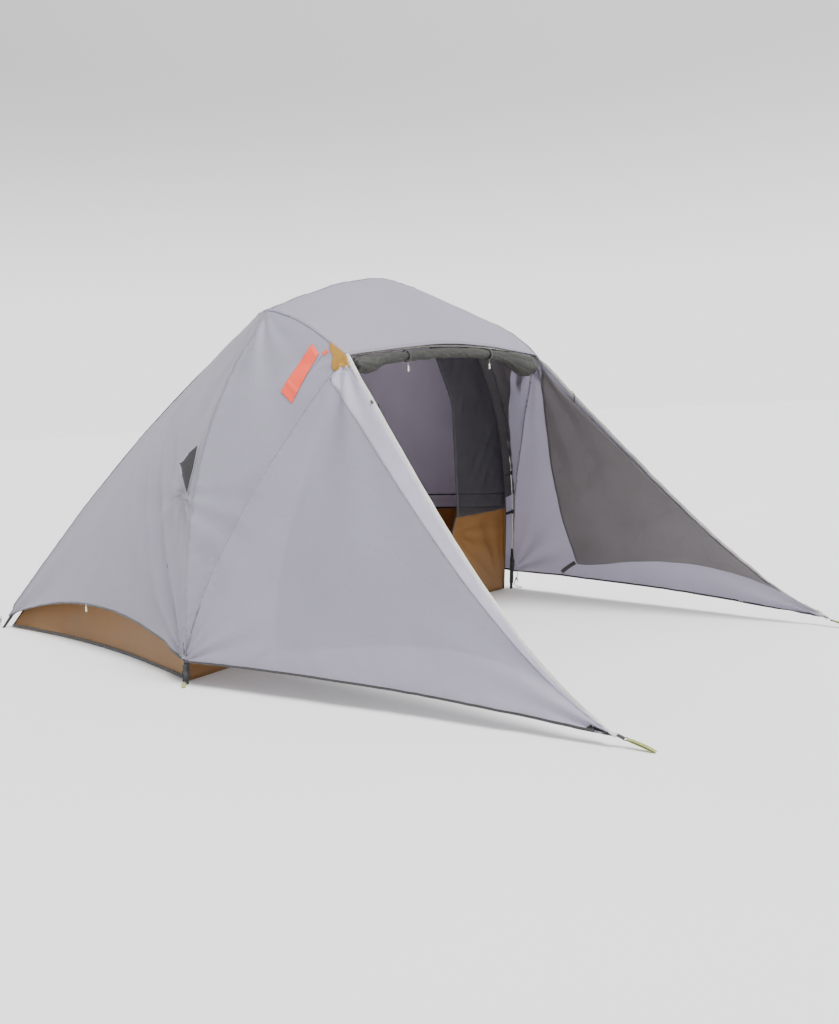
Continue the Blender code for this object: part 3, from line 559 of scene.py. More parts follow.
def make(name, verts, faces, finish, slot, body=TENT, uv=None, stands_for=()):
    """A piece from arrays: its mesh, material and the body that it rides on; slot is not used."""
    mesh = bpy.data.meshes.new(name)
    mesh.from_pydata([tuple(p) for p in np.asarray(verts, float)], [], [tuple(f) for f in faces])
    if uv is not None:
        layer = mesh.uv_layers.new(name="UVMap")
        corner = np.zeros(len(mesh.loops), np.int32)
        mesh.loops.foreach_get("vertex_index", corner)
        layer.data.foreach_set("uv", np.asarray(uv, float)[corner].astype(np.float32).ravel())
    mesh.update()
    mesh.shade_smooth()
    obj = show(name, mesh, FINISH[finish])
    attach(obj, body)
    if stands_for:
        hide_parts(*stands_for)
    return obj


def shares(count):
    return np.linspace(0.0, 1.0, count + 1)


def run_along(line):
    """The length from a line's start to each of its points."""
    return np.concatenate([[0.0], np.cumsum(np.linalg.norm(np.diff(line, axis=0), axis=1))])


def grid_faces(rows, cols):
    index = np.arange(rows * cols).reshape(rows, cols)
    return np.stack([index[:-1, :-1], index[:-1, 1:], index[1:, 1:], index[1:, :-1]], -1).reshape(-1, 4)


def ring_faces(rings, count):
    """Faces between rings of count points each, with a cap at both ends."""
    faces = []
    for start in range(0, (rings - 1) * count, count):
        for k in range(count):
            k2 = (k + 1) % count
            faces.append((start + k, start + k2, start + count + k2, start + count + k))
    faces.append(tuple(range(count))[::-1])
    faces.append(tuple(range((rings - 1) * count, rings * count)))
    return faces


def grid_uv(points):
    """Lengths along and across a grid of points, in metres, as texture coordinates."""
    along = np.linalg.norm(np.diff(points, axis=1), axis=-1)
    up = np.linalg.norm(np.diff(points, axis=0), axis=-1)
    u = np.concatenate([np.zeros((len(points), 1)), np.cumsum(along, axis=1)], axis=1)
    v = np.concatenate([np.zeros((1, points.shape[1])), np.cumsum(up, axis=0)], axis=0)
    return np.stack([u, v], -1).reshape(-1, 2)


def thicken(obj, thickness):
    """Close a sheet by giving it a thickness, half to each side."""
    solid = obj.modifiers.new("thickness", "SOLIDIFY")
    solid.thickness = thickness
    solid.offset = 0.0


def area_of(points):
    a = points[1:, 1:] - points[:-1, :-1]
    b = points[1:, :-1] - points[:-1, 1:]
    return float(np.linalg.norm(np.cross(a, b), axis=-1).sum() / 2.0)


def declare(points):
    """Work out the size that a sheet's own longest lines and area give; the result is not kept."""
    across = max(np.linalg.norm(np.diff(points, axis=1), axis=-1).sum(1).max(), 0.05)
    up = max(np.linalg.norm(np.diff(points, axis=0), axis=-1).sum(0).max(), 0.05)
    area = area_of(points)
    while area > 0.99 * across * up:
        up *= 1.05


def sheet(name, points, finish, slot, held, rests_on, thickness=CLOTH, **rest):
    """A sheet of cloth over a grid of points."""
    obj = make(name, points.reshape(-1, 3), grid_faces(*points.shape[:2]), finish, slot,
               uv=grid_uv(points), **rest)
    thicken(obj, thickness)
    declare(points)


def tangents(line):
    return unit(np.gradient(line, axis=0))


def ribbon(name, line, facing, width, thickness, finish, slot, body=TENT, shift=0.0, **rest):
    """A flat closed band along a line. facing is its outward normal; shift moves it sideways."""
    line = np.asarray(line, float)
    along = tangents(line)
    across = unit(np.cross(np.broadcast_to(facing, line.shape), along))
    up = unit(np.cross(along, across))
    half_w, half_t, soft = width / 2.0, thickness / 2.0, min(thickness, width) * 0.3
    outline = ((-half_w, -half_t + soft), (-half_w + soft, -half_t), (half_w - soft, -half_t),
               (half_w, -half_t + soft), (half_w, half_t - soft), (half_w - soft, half_t),
               (-half_w + soft, half_t), (-half_w, half_t - soft))
    run = run_along(line)
    verts = np.stack([line + across * (x + shift) + up * y for x, y in outline], 1)
    uv = np.stack([np.stack([run, np.full(len(run), x)], -1) for x, _ in outline], 1)
    make(name, verts.reshape(-1, 3), ring_faces(len(line), len(outline)), finish, slot, body,
         uv=uv.reshape(-1, 2), **rest)


def cross_directions(line):
    """Two directions across a line at each of its points, without twist."""
    along = tangents(line)
    guess = np.array((0.0, 0.0, 1.0))
    if abs(along[0] @ guess) > 0.9:
        guess = np.array((0.0, 1.0, 0.0))
    firsts = []
    for step in along:
        guess = guess - step * (step @ guess)
        guess = guess / np.linalg.norm(guess)
        firsts.append(guess)
    firsts = np.array(firsts)
    return firsts, np.cross(along, firsts)


def tube(name, line, radius, finish, slot, body=TENT, sides=12, shape=None, **rest):
    """A closed round tube along a line; shape(angle, share) scales the radius for folds."""
    line = np.asarray(line, float)
    a, b = cross_directions(line)
    n = len(line)
    radius = np.broadcast_to(radius, n)
    angle = np.arange(sides) * 2.0 * math.pi / sides
    scale = np.ones((n, sides)) if shape is None else shape(angle[None, :], shares(n - 1)[:, None])
    size = radius[:, None] * scale
    ring = (a[:, None] * np.cos(angle)[None, :, None] + b[:, None] * np.sin(angle)[None, :, None])
    verts = line[:, None] + ring * size[..., None]
    uv = np.stack(np.broadcast_arrays(run_along(line)[:, None], angle[None, :] * radius[:, None]), -1)
    return make(name, verts.reshape(-1, 3), ring_faces(n, sides), finish, slot, body,
                uv=uv.reshape(-1, 2), **rest)


def block(name, centre, axes, size, finish, slot, bevel=0.0012):
    """A rounded moulded block; axes are its three directions and size its three lengths."""
    corners = [(x, y, z) for z in (-0.5, 0.5) for y in (-0.5, 0.5) for x in (-0.5, 0.5)]
    verts = [np.asarray(centre) + sum(np.asarray(axes[k]) * corner[k] * size[k] for k in range(3))
             for corner in corners]
    faces = [(0, 2, 3, 1), (4, 5, 7, 6), (0, 1, 5, 4), (2, 6, 7, 3), (0, 4, 6, 2), (1, 3, 7, 5)]
    rounded = make(name, verts, faces, finish, slot).modifiers.new("rounded", "BEVEL")
    rounded.width = bevel
    rounded.segments = 3


# ---- the fly: one sewn sheet ----------------------------------------------------------------
FINE = 130                   # samples up a panel
FINE_SIDE = 110
FINE_GUSSET = 44
FINE_ARCH = 120
STITCHED = ("stitched_tape", "webbing")
BLACK = ("black_tape", "webbing")
FORWARD = np.array((0.0, -1.0, 0.0))


def fan(points, apex, towards, facing, opening, reach, folds, height, phase=0.0):
    """Folds that fan out of a pulled corner and die away with distance."""
    apex = np.asarray(apex, float)
    forward = unit(np.asarray(towards, float) - apex)
    sideways = unit(np.cross(facing, forward))
    away = points - apex
    x, y = away @ forward, away @ sideways
    distance = np.linalg.norm(away, axis=-1)
    angle = np.arctan2(y, x)
    wander = 0.6 * noise(points, 0.35, 5)
    fade = np.exp(-distance / reach) * smooth(distance / 0.05) * np.exp(-(angle / opening) ** 2)
    return height * fade * np.sin(folds * angle + phase + wander)


def tree_of(points):
    tree = KDTree(len(points))
    for i, place in enumerate(points):
        tree.insert(place, i)
    tree.balance()
    return tree


class Cloth:
    """The fly's surface: where each place on the smooth panels ends up after folding."""

    def __init__(self, base, final, normal):
        self.base = base
        self.final = final
        self.normal = normal
        self.tree = tree_of(base)

    def lay(self, smooth_line, lift=0.0):
        """Lay a line or a patch of the smooth panels onto the folded cloth, lifted off it."""
        points = raised(smooth_line)
        moved, facing = [], []
        for point in points.reshape(-1, 3):
            found = self.tree.find_n(point, 4)
            weight = np.array([1.0 / (d + 1e-4) ** 2 for _, _, d in found])
            weight /= weight.sum()
            index = [i for _, i, _ in found]
            shift = (weight[:, None] * (self.final[index] - self.base[index])).sum(0)
            out = unit((weight[:, None] * self.normal[index]).sum(0))
            moved.append(point + shift + out * lift)
            facing.append(out)
        return np.array(moved).reshape(points.shape), np.array(facing).reshape(points.shape)


def fly_grids():
    """The fly's nine panels as grids of points, each with the way its faces turn."""
    up, along = shares(FINE), shares(FINE_SIDE)
    gusset, arch = shares(FINE_GUSSET), shares(FINE_ARCH)
    grids = []
    for side in (-1, 1):
        for panel, us in ((side_panel, along), (gusset_panel, gusset), (wing_panel, up)):
            grids.append((spread(panel, us, up, FLY_OUT, side), side))
    for panel, us, vs in ((rear_panel, up, up), (roof_panel, arch, along), (brow_panel, arch, gusset)):
        grids.append((spread(panel, us, vs, FLY_OUT), 1))
    return grids


def fly_seams():
    """The fly's seam lines by name, sampled finely on its smooth surface."""
    t = shares(90)
    lines = {}
    for side, word in SIDES:
        lines["rear_seam_" + word] = fly_rear_leg(side, t)
        lines["leg_seam_" + word] = fly_front_leg(side, t)
        lines["roof_seam_" + word] = roof_arm(side, t)
        lines["wing_seam_" + word] = wing_seam(side, t)
        lines["shoulder_seam_" + word] = shoulder_seam(side, t)
    lines["arch_seam"] = roof_arch(2.0 * t - 1.0)
    return lines


def distance_to(points, lines):
    tree = tree_of(np.concatenate(lines))
    return np.array([tree.find(p)[2] for p in points])


def fold_fly(base, seams, edges):
    """How far each point of the fly stands off its smooth surface."""
    off = 0.0080 * noise(base, 0.42, 1) + 0.0034 * noise(base, 0.15, 2)
    from_seam = distance_to(base, seams)
    pucker = np.exp(-from_seam / 0.035)
    off += 0.0030 * pucker * noise(base * (1.0, 1.0, 1.5), 0.030, 3)
    off -= 0.0075 * smooth(from_seam / 0.25)
    from_edge = distance_to(base, edges)
    off += 0.0040 * np.exp(-from_edge / 0.050) * noise(base, 0.042, 4)
    for side in (-1, 1):
        out = np.array((side * 1.0, -0.2, 0.2))
        for apex, towards, opening, reach, folds, height, phase in pulled_corners(side):
            off += fan(base, apex, towards, out, opening, reach, folds, height, phase)
        off += long_folds(base, side)
        hood = side_panel(side, np.array(0.905), np.array(0.53))[0]
        under_hood = np.exp(-(np.linalg.norm(base - hood, axis=-1) / 0.085) ** 4)
        off -= (np.maximum(off, 0.0) + 0.004) * under_hood
    off += fan(base, CROWN, (0.0, 0.8, 0.8), np.array((0.0, 0.5, 1.0)), 1.6, 0.5, 11.0, 0.008)
    return np.maximum(off, -(0.005 + 0.25 * from_seam))


def pulled_corners(side):
    """Where folds start: apex, aim, half opening, reach, folds a radian, height and phase."""
    foot, tip = fly_corner(side), wing_tip(side)
    top = brow_end(side)
    rear = fly_rear_leg(side, np.array(0.0))[0]
    shoulder = front_leg(side, np.array(1.0))[0]
    vent = side_panel(side, np.array(0.91), np.array(0.46))[0]
    middle = side_panel(side, np.array(0.5), np.array(0.5))[0]
    return ((foot, middle, 0.9, 0.60, 13.0, 0.0130, 0.0),
            (foot, (tip + top) / 2.0, 0.7, 0.55, 15.0, 0.0090, 1.0),
            (rear, middle, 0.9, 0.65, 12.0, 0.0120, 0.5),
            (tip, (foot + top) / 2.0, 0.5, 0.55, 22.0, 0.0090, 0.3),
            (top, (foot + tip) / 2.0, 1.0, 0.50, 14.0, 0.0100, 2.0),
            (shoulder, middle, 1.0, 0.45, 11.0, 0.0090, 0.8),
            (vent, foot, 1.4, 0.24, 12.0, 0.0120, 0.2),
            (shoulder, (foot + top) / 2.0, 0.8, 0.40, 13.0, 0.0080, 1.7),
            (vent, rear, 1.0, 0.30, 10.0, 0.0110, 1.1),
            (top, foot, 0.5, 0.75, 9.0, 0.0080, 0.9))


def long_folds(points, side):
    """Loose diagonal folds between a front leg's foot and the top of the rear leg."""
    low = side_panel(side, np.array(0.98), np.array(0.10))[0]
    high = side_panel(side, np.array(0.15), np.array(0.80))[0]
    along = unit(high - low)
    across = unit(np.cross(along, (side, 0.0, 0.3)))
    away = points - (low + high) / 2.0
    x, y = away @ along, away @ across
    on_side = smooth((points[:, 0] * side - 0.35) / 0.3) * smooth((points[:, 1] + 1.0) / 0.15)
    fade = np.exp(-(x / 0.9) ** 2 - (y / 0.33) ** 2) * on_side
    return 0.0095 * fade * np.sin(y * 2.0 * math.pi / 0.17 + 2.5 * noise(points, 0.5, 6))


def sew(grids):
    """The panels welded into one mesh, with its faces turned outwards."""
    bm = bmesh.new()
    layer = bm.loops.layers.uv.new("UVMap")
    for points, side in grids:
        verts = [bm.verts.new(p) for p in points.reshape(-1, 3)]
        uv = grid_uv(points)
        for face in grid_faces(*points.shape[:2]):
            order = face[::-1] if side > 0 else face
            made = bm.faces.new([verts[k] for k in order])
            for corner, k in zip(made.loops, order):
                corner[layer].uv = uv[k]
    bmesh.ops.remove_doubles(bm, verts=bm.verts, dist=0.0002)
    bmesh.ops.dissolve_degenerate(bm, dist=0.0002, edges=bm.edges)
    bmesh.ops.recalc_face_normals(bm, faces=bm.faces)
    bm.normal_update()
    bm.verts.ensure_lookup_table()
    highest = max(bm.faces, key=lambda f: f.calc_center_median().z)
    if highest.normal.z < 0.0:
        bmesh.ops.reverse_faces(bm, faces=bm.faces)
        bm.normal_update()
    return bm


def build_fly():
    """Weld the panels into one sheet, fold it, and give it its thickness."""
    grids = fly_grids()
    bm = sew(grids)
    base = np.array([v.co for v in bm.verts])
    normal = np.array([v.normal for v in bm.verts])
    t = shares(120)
    edges = [raised(line(side, t)) for side in (-1, 1) for line in (wing_edge, wing_hem, side_hem)]
    edges.append(raised(rear_hem(t)))
    off = fold_fly(base, [raised(line) for line in fly_seams().values()], edges)
    final = base + normal * off[:, None]
    for vert, place in zip(bm.verts, final):
        vert.co = place
    bm.normal_update()
    normal = np.array([v.normal for v in bm.verts])
    mesh = bpy.data.meshes.new("fly")
    bm.to_mesh(mesh)
    bm.free()
    mesh.shade_smooth()
    fly = show("fly", mesh, FINISH["fly"])
    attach(fly, TENT)
    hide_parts("fly_side_left", "fly_side_right", "fly_gusset_left", "fly_gusset_right",
                "wing_left", "wing_right", "fly_rear", "fly_roof", "fly_brow")
    thicken(fly, CLOTH)
    return Cloth(base, final, normal)


def tape_along(cloth, name, line, width, thickness, finish, slot, lift=0.0, shift=0.0, trim=0):
    """A tape sewn to the fly along a line of its smooth surface."""
    place, facing = cloth.lay(line, lift)
    if trim:
        place, facing = place[trim:-trim], facing[trim:-trim]
    ribbon(name, place, facing, width, thickness, finish, slot, shift=shift)


def fly_trim(cloth):
    """Seams, bound hems and the zips along the wings' front edges."""
    # the seam tapes are painted darker than the fly: painted shade of their puckers
    for name, line in fly_seams().items():
        tape_along(cloth, name, line, 0.011, 0.0010, "seam", "fly_fabric", 0.0008, trim=1)
    t = shares(110)
    for side, word in SIDES:
        tape_along(cloth, "wing_hem_binding_" + word, wing_hem(side, t), 0.010, 0.0026, *STITCHED)
        tape_along(cloth, "side_hem_binding_" + word, side_hem(side, t), 0.010, 0.0026, *STITCHED)
        edge = wing_edge(side, t)
        tape_along(cloth, "zip_tape_" + word, edge, 0.014, 0.0024, "white_tape", "fly_fabric")
        tape_along(cloth, "zip_chain_" + word, edge, 0.0055, 0.0024, "pale", "toggle_plastic",
                   shift=-0.008 * side)
    tape_along(cloth, "rear_hem_binding", rear_hem(t), 0.013, 0.0026, *STITCHED)
    tape_along(cloth, "brow_binding", brow(2.0 * t - 1.0), 0.016, 0.0026, "seam", "fly_fabric")


def edge_bands(cloth):
    """The gathered facing beside each wing's zip, in a lighter grey than the fly: painted highlight on its
    gathers.
    """
    for side, word in SIDES:
        u, v = np.meshgrid(shares(160) * 0.985 + 0.004, 1.0 - np.linspace(0.006, 1.0, 9) * 0.075)
        settled, facing = cloth.lay(wing_panel(side, u, v))
        ripple = 0.0011 + 0.0010 * noise(settled, 0.018, 9) + 0.0009 * noise(settled, 0.045, 10)
        fade = smooth((1.0 - u) / 0.02) * smooth(u / 0.01)
        edge = np.minimum(smooth((1.0 - v) / 0.006), 1.0)
        points = settled + facing * (0.0009 + ripple * fade * edge)[..., None]
        sheet("edge_band_" + word, points, "band", "fly_fabric", "stretched", ["fly"], 0.0006)


# ---- painted shade sheets and the inner tent ------------------------------------------------
TUB_SHARE = TUB_Z / CROWN[2]
FLOOR_LIFT = 0.0045          # height of the tub front's lowest edge


def painted_shade_sheets(cloth):
    """Dark sheets of painted shade inside the wings and the front corners, hung just inside the fly."""
    for side, word in SIDES:
        q, r = np.meshgrid(shares(70), shares(50))
        low_u, low_v = 0.25 + 0.60 * q, 0.10 + 0.86 * q ** 1.6
        high_u, high_v = 0.03 + 0.82 * q, 0.982
        lining = wing_panel(side, low_u + (high_u - low_u) * r, low_v + (high_v - low_v) * r)
        hang_inside(cloth, "wing_painted_shade_" + word, lining, 21, "wing_liner_" + word)
        q, r = np.meshgrid(shares(24), 0.03 + 0.97 * shares(50))
        u = (1.0 - 0.75 * r) + (0.985 - (1.0 - 0.75 * r)) * q
        lining = gusset_panel(side, u, 0.40 + (0.55 - 0.06 * q) * r)
        hang_inside(cloth, "corner_painted_shade_" + word, lining, 23, "inner_corner_panel_" + word)


def hang_inside(cloth, name, patch, seed, node):
    """A dark sheet of painted shade that stays between the fly and the poles, slack between its sewn edges.
    """
    settled, facing = cloth.lay(patch)
    inside = 0.0075 + 0.0030 * noise(settled, 0.10, seed) + 0.0018 * noise(settled, 0.045, seed + 1)
    sheet(name, settled - facing * inside[..., None], "painted_shade_liner", "fly_liner", "hung", ["fly"],
          stands_for=(node,))


def wrinkled(points, size, seed, hold=0.06):
    """Soft folds on an inner panel that fade towards its edges."""
    rows, cols = points.shape[:2]
    near = np.minimum.outer(np.minimum(shares(rows - 1), shares(rows - 1)[::-1]),
                            np.minimum(shares(cols - 1), shares(cols - 1)[::-1]))
    bumps = size * (noise(points, 0.30, seed) + 0.6 * noise(points * (1, 1, 0.35), 0.07, seed + 1))
    normals = unit(np.cross(np.gradient(points, axis=1), np.gradient(points, axis=0)))
    return points + normals * (bumps * smooth(near / hold))[..., None]


def inner_sheet(name, points, size, seed, rests_on, node):
    """A wall of the inner tent, in the tub's cloth where it stands for a part of the tub."""
    kind = "tub" if node.startswith("tub") else "inner"
    sheet(name, wrinkled(points, size, seed), kind, kind + "_fabric", "stretched", rests_on,
          stands_for=(node,))


def inner_walls():
    """The inner tent's side, rear and roof walls, and the tub's walls below them."""
    across, low = shares(80), np.linspace(0.003, TUB_SHARE, 26)
    up = np.linspace(TUB_SHARE, 1.0, 71)
    for side, word in SIDES:
        inner_sheet("inner_side_" + word, spread(inner_side_panel, across, up, -INNER_IN, side),
                    0.006, 31, ["front_pole_" + word, "rear_pole_" + word], "inner_wall_" + word)
        inner_sheet("tub_side_" + word, spread(inner_side_panel, across, low, -INNER_IN, side),
                    0.005, 33, ["front_boot_" + word, "rear_boot_" + word], "tub_wall_" + word)
    up = np.linspace(TUB_SHARE, 0.992, 71)
    inner_sheet("inner_back", spread(inner_rear_panel, across, up, -INNER_IN), 0.006, 35,
                ["rear_pole_left", "rear_pole_right"], "inner_wall_rear")
    inner_sheet("tub_back", spread(inner_rear_panel, across, low, -INNER_IN), 0.005, 36,
                ["rear_boot_left", "rear_boot_right"], "tub_wall_rear")
    ceiling = spread(roof_panel, shares(70), np.linspace(0.0, 0.985, 50), -INNER_IN)
    inner_sheet("inner_ceiling", ceiling, 0.004, 37,
                ["roof_arch_pole", "roof_pole_left", "roof_pole_right"], "inner_roof")


def front_line(side, t):
    return raised(front_leg(side, t), -(INNER_IN + WALL_INSET))


def arch_line(s):
    return raised(roof_arch(s), -(INNER_IN + WALL_INSET))


def wall_y(z):
    return hoop_y(z) + 0.022


FRONT_TUB_Z = float(front_line(1, np.array(TUB_SHARE))[2])


def door_edge(share):
    """The door's edge: straight runs between its corners, eased where they meet."""
    corners = np.array(((DOOR_HALF, FRONT_TUB_Z + 0.001),) + DOOR_CORNERS)
    knots = np.array((0.0, 0.375, 0.625, 0.875, 1.0))
    total = 0.0
    for ease in np.linspace(-0.05, 0.05, 11):
        at = share + ease * hump(share)
        total = total + xyz(np.interp(at, knots, corners[:, 0]), 0.0,
                            np.interp(at, knots, corners[:, 1])) / 11.0
    return total[..., 0], total[..., 2]


def front_outline(side, count):
    """The front wall's outer line, from the tub's top up the leg and along the arch."""
    leg = front_line(side, np.linspace(TUB_SHARE, 1.0, 60))
    arch = arch_line(side * np.linspace(1.0, 0.0, 50))
    line = np.concatenate([leg, arch[1:]])
    run = run_along(line)
    at = np.linspace(0.0, run[-1], count)
    return np.stack([np.interp(at, run, line[:, k]) for k in range(3)], -1)


def front_walls(cloth):
    """The mesh on both sides of the door, its zip tapes and the wall's corner seams."""
    count = 90
    for side, word in SIDES:
        outer = front_outline(side, count)
        x, z = door_edge(np.linspace(0.0, 1.0, count))
        inner = xyz(side * x, wall_y(z), z)
        share = shares(26)
        points = outer[:, None] * (1.0 - share[None, :, None]) + inner[:, None] * share[None, :, None]
        slack = 0.005 * noise(points, 0.16, 41) + 0.004 * noise(points * (1.0, 1.0, 2.2), 0.07, 42)
        slant = points[..., 2] * 0.55 - points[..., 0] * side * 0.83 + 0.05 * noise(points, 0.3, 43)
        slack += 0.011 * np.abs(np.sin(slant * math.pi / 0.085)) ** 6 * noise(points, 0.22, 44)
        fade = smooth(share / 0.12) * smooth((1.0 - share) / 0.10)
        points[..., 1] += slack * fade[None, :]
        sheet("mesh_front_" + word, points, "mesh", "inner_mesh", "stretched",
              ["front_pole_" + word], 0.0004, stands_for=("inner_front_" + word,))
        edge_flap(cloth, side, word)
        ribbon("door_zip_" + word, inner, FORWARD, 0.020, 0.0022, *STITCHED)
        ribbon("front_seam_" + word, outer[:58], FORWARD, 0.014, 0.0022, *STITCHED)


def edge_flap(cloth, side, word):
    """A near-black flap of painted shade from the front wall's corner seam, past the pole, to the corner's
    painted shade sheet.
    """
    t = np.linspace(0.365, 0.985, 90)
    seam = front_line(side, t)
    low = HEM_CORNER_Z / SHOULDER_Z
    lining, _ = cloth.lay(gusset_panel(side, np.full_like(t, 0.955), (t - low) / (1.0 - low)), -0.0085)
    share = shares(12)
    points = seam[:, None] * (1.0 - share[None, :, None]) + lining[:, None] * share[None, :, None]
    points[..., 1] += 0.0025 * noise(points, 0.06, 45) * hump(share)[None, :]
    sheet("corner_painted_shade_flap_" + word, points, "painted_shade_flap", "fly_liner", "stretched",
          ["front_pole_" + word], 0.0008)


def tub_front():
    """The tub's front wall, dipping to a low sill under the door."""
    xs = -1.0 + shares(110) * 2.0
    runs = np.array(((3.0, FRONT_TUB_Z), (DOOR_HALF, FRONT_TUB_Z)) + SILL_CORNERS)[::-1]
    reach = np.abs(front_line(1, np.array(0.0))[0] * xs)
    height = np.interp(reach, runs[:, 0], runs[:, 1])
    rows = []
    for v in np.linspace(0.0, 0.996, 30):
        z = FLOOR_LIFT + (height - FLOOR_LIFT) * v
        corner = front_line(1, z / SHOULDER_Z)
        bow = FLOOR_FRONT_BOW * (1.0 - xs * xs) * (1.0 - z / FRONT_TUB_Z)
        rows.append(xyz(corner[:, 0] * xs, corner[:, 1] + bow, z))
    points = np.array(rows)
    folds = np.zeros(points.shape[:2])
    for side in (-1, 1):
        corner = np.array((side * 1.15, -1.0, 0.0))
        folds += fan(points, corner, corner + (-side * 0.3, 0.0, 0.4), FORWARD, 0.9, 0.45, 19.0, 0.013)
        sill = np.array((side * 0.66, -1.0, 0.40))
        folds += fan(points, sill, sill + (side * 0.4, 0.0, -0.30), FORWARD, 1.3, 0.30, 17.0, 0.015, 1.0)
    folds += 0.004 * noise(points, 0.12, 52)
    points[..., 1] += folds * smooth(np.minimum(points[..., 2] - FLOOR_LIFT, 0.2) / 0.06)
    sheet("tub_front", points, "tub", "tub_fabric", "stretched",
          ["front_boot_left", "front_boot_right"], stands_for=("tub_wall_front",))
    ribbon("tub_top_binding", points[-1], FORWARD, 0.012, 0.0026, *STITCHED)


def floor_sheet():
    """The tub's floor, with the shallow creases of a folded groundsheet."""
    t, u = shares(60), shares(70)
    left, right = (raised(floor_side(side, t), -INNER_IN) for side in (-1, 1))
    points = left[:, None] + (right - left)[:, None] * u[None, :, None]
    points[..., 2] = 0.0022 + 0.0010 * (1.0 + noise(points, 0.09, 61)) * 0.5
    rear_bow = 0.05 * hump(u)[None, :] * (1.0 - t[:, None])
    front_bow = FLOOR_FRONT_BOW * hump(u)[None, :] * t[:, None]
    points[..., 1] += front_bow - rear_bow
    sheet("groundsheet", points, "floor", "tub_fabric", "laid", [], 0.0016,
          stands_for=("tub_floor",))


def inner_tape(name, line, width, thickness, inset=INNER_IN):
    ribbon(name, raised(line, -inset), line[1], width, thickness, *STITCHED)


def inner_tapes():
    """Black seam tapes of the inner tent: the tub's top edge and the corner seams."""
    t = shares(80)
    tub, floor, wall = (np.full_like(t, v) for v in (TUB_SHARE, 0.006, TUB_SHARE + 0.055))
    under = INNER_IN - 0.001
    for side, word in SIDES:
        inner_tape("tub_seam_" + word, inner_side_panel(side, t, tub), 0.014, 0.0026)
        inner_tape("wall_seam_" + word, inner_side_panel(side, t, wall), 0.007, 0.0150)
        inner_tape("floor_seam_" + word, inner_side_panel(side, t, floor), 0.016, 0.0030, under)
        inner_tape("corner_seam_" + word, rear_leg(side, 0.006 + 0.98 * t), 0.012, 0.0024, under)
        inner_tape("front_corner_seam_" + word, front_leg(side, 0.006 + 0.985 * t), 0.012, 0.0024, under)
        inner_tape("ceiling_seam_" + word, roof_arm(side, 0.03 + 0.95 * t), 0.012, 0.0024)
    inner_tape("tub_seam_rear", inner_rear_panel(t, tub), 0.014, 0.0026)
    inner_tape("floor_seam_rear", inner_rear_panel(t, floor), 0.016, 0.0030, under)
    inner_tape("arch_tape", roof_arch(2.0 * t - 1.0), 0.012, 0.0024)


# ---- the rolled doors -----------------------------------------------------------------------
TIE_PLACES = (("left", -0.50), ("right", 0.36))
ROLL_END = 0.965             # how far the roll reaches along each half of the brow pole
INNER_ROLL_R = 0.030


def roll_radius(s):
    right = 0.030 * np.exp(-((s - 0.80) / 0.16) ** 2)
    left = 0.014 * np.exp(-((s + 0.86) / 0.10) ** 2)
    return 0.023 + right + left


def roll_centre(s):
    drop = roll_radius(s) + 0.012
    return brow(s)[0] + xyz(0.0, -0.30 * drop, -0.95 * drop)


def rolled_layers(angle, share, length, seed):
    """Scale of a roll's radius: grooves between its layers that wander along it, and creases."""
    along = share * length
    around = np.stack(np.broadcast_arrays(np.cos(angle) * 0.05, np.sin(angle) * 0.05, along), -1)
    drift = 2.2 * noise(around * (0.0, 0.0, 1.0), 0.16, seed)
    wide = np.abs(np.sin(1.5 * angle + drift)) ** 0.5
    narrow = np.abs(np.sin(3.5 * angle - 1.7 * drift + 1.0)) ** 0.6
    creases = 0.10 * noise(around, 0.045, seed + 1) + 0.06 * noise(around, 0.018, seed + 2)
    return 0.80 + 0.15 * wide + 0.09 * narrow + creases


def round_off(s, end, reach):
    """Closes a roll's ends: 1 along it, falling to a small share at s = -end and end."""
    beyond = np.clip((np.abs(s) - (end - reach)) / reach, 0.0, 0.985)
    return np.sqrt(1.0 - beyond ** 2)


def door_roll():
    s = np.linspace(-ROLL_END, ROLL_END, 360)
    pinch = sum(np.exp(-((s - at) / 0.030) ** 2) for _, at in TIE_PLACES)
    size = roll_radius(s) * (1.0 - 0.16 * pinch) * round_off(s, ROLL_END, 0.030)
    obj = tube("rolled_door", roll_centre(s), size, "roll", "fly_liner", sides=84,
               shape=lambda angle, share: rolled_layers(angle, share, 1.35, 71),
               stands_for=("door_roll",))


def inner_door_roll():
    share = shares(150)
    z = 0.50 + 0.68 * share
    line = xyz(-0.735 + 0.05 * share ** 2, wall_y(z) + 0.044, z)
    pinch = np.exp(-((share - 0.30) / 0.03) ** 2) + np.exp(-((share - 0.78) / 0.03) ** 2)
    size = INNER_ROLL_R * (1.0 - 0.20 * pinch) * round_off(2.0 * share - 1.0, 1.0, 0.06)
    obj = tube("rolled_inner_door", line, size, "rolled_mesh", "inner_mesh", sides=60,
               shape=lambda angle, share: rolled_layers(angle, share, 0.70, 81),
               stands_for=("inner_door_roll",))
    for index, at in enumerate((45, 117)):
        wrap("inner_roll_tie_%d" % index, line[at], line[at + 1] - line[at - 1], INNER_ROLL_R * 0.86, 0.012)


def wrap(name, centre, along, radius, width):
    """A tape wound once around a roll."""
    along = unit(np.asarray(along, float))
    first = unit(np.cross(along, (0.0, 1.0, 0.1)))
    second = np.cross(along, first)
    angle = np.linspace(0.0, 2.0 * math.pi, 40)
    out = first * np.cos(angle)[:, None] + second * np.sin(angle)[:, None]
    ribbon(name, centre + out * radius, out, width, 0.0016, *BLACK)


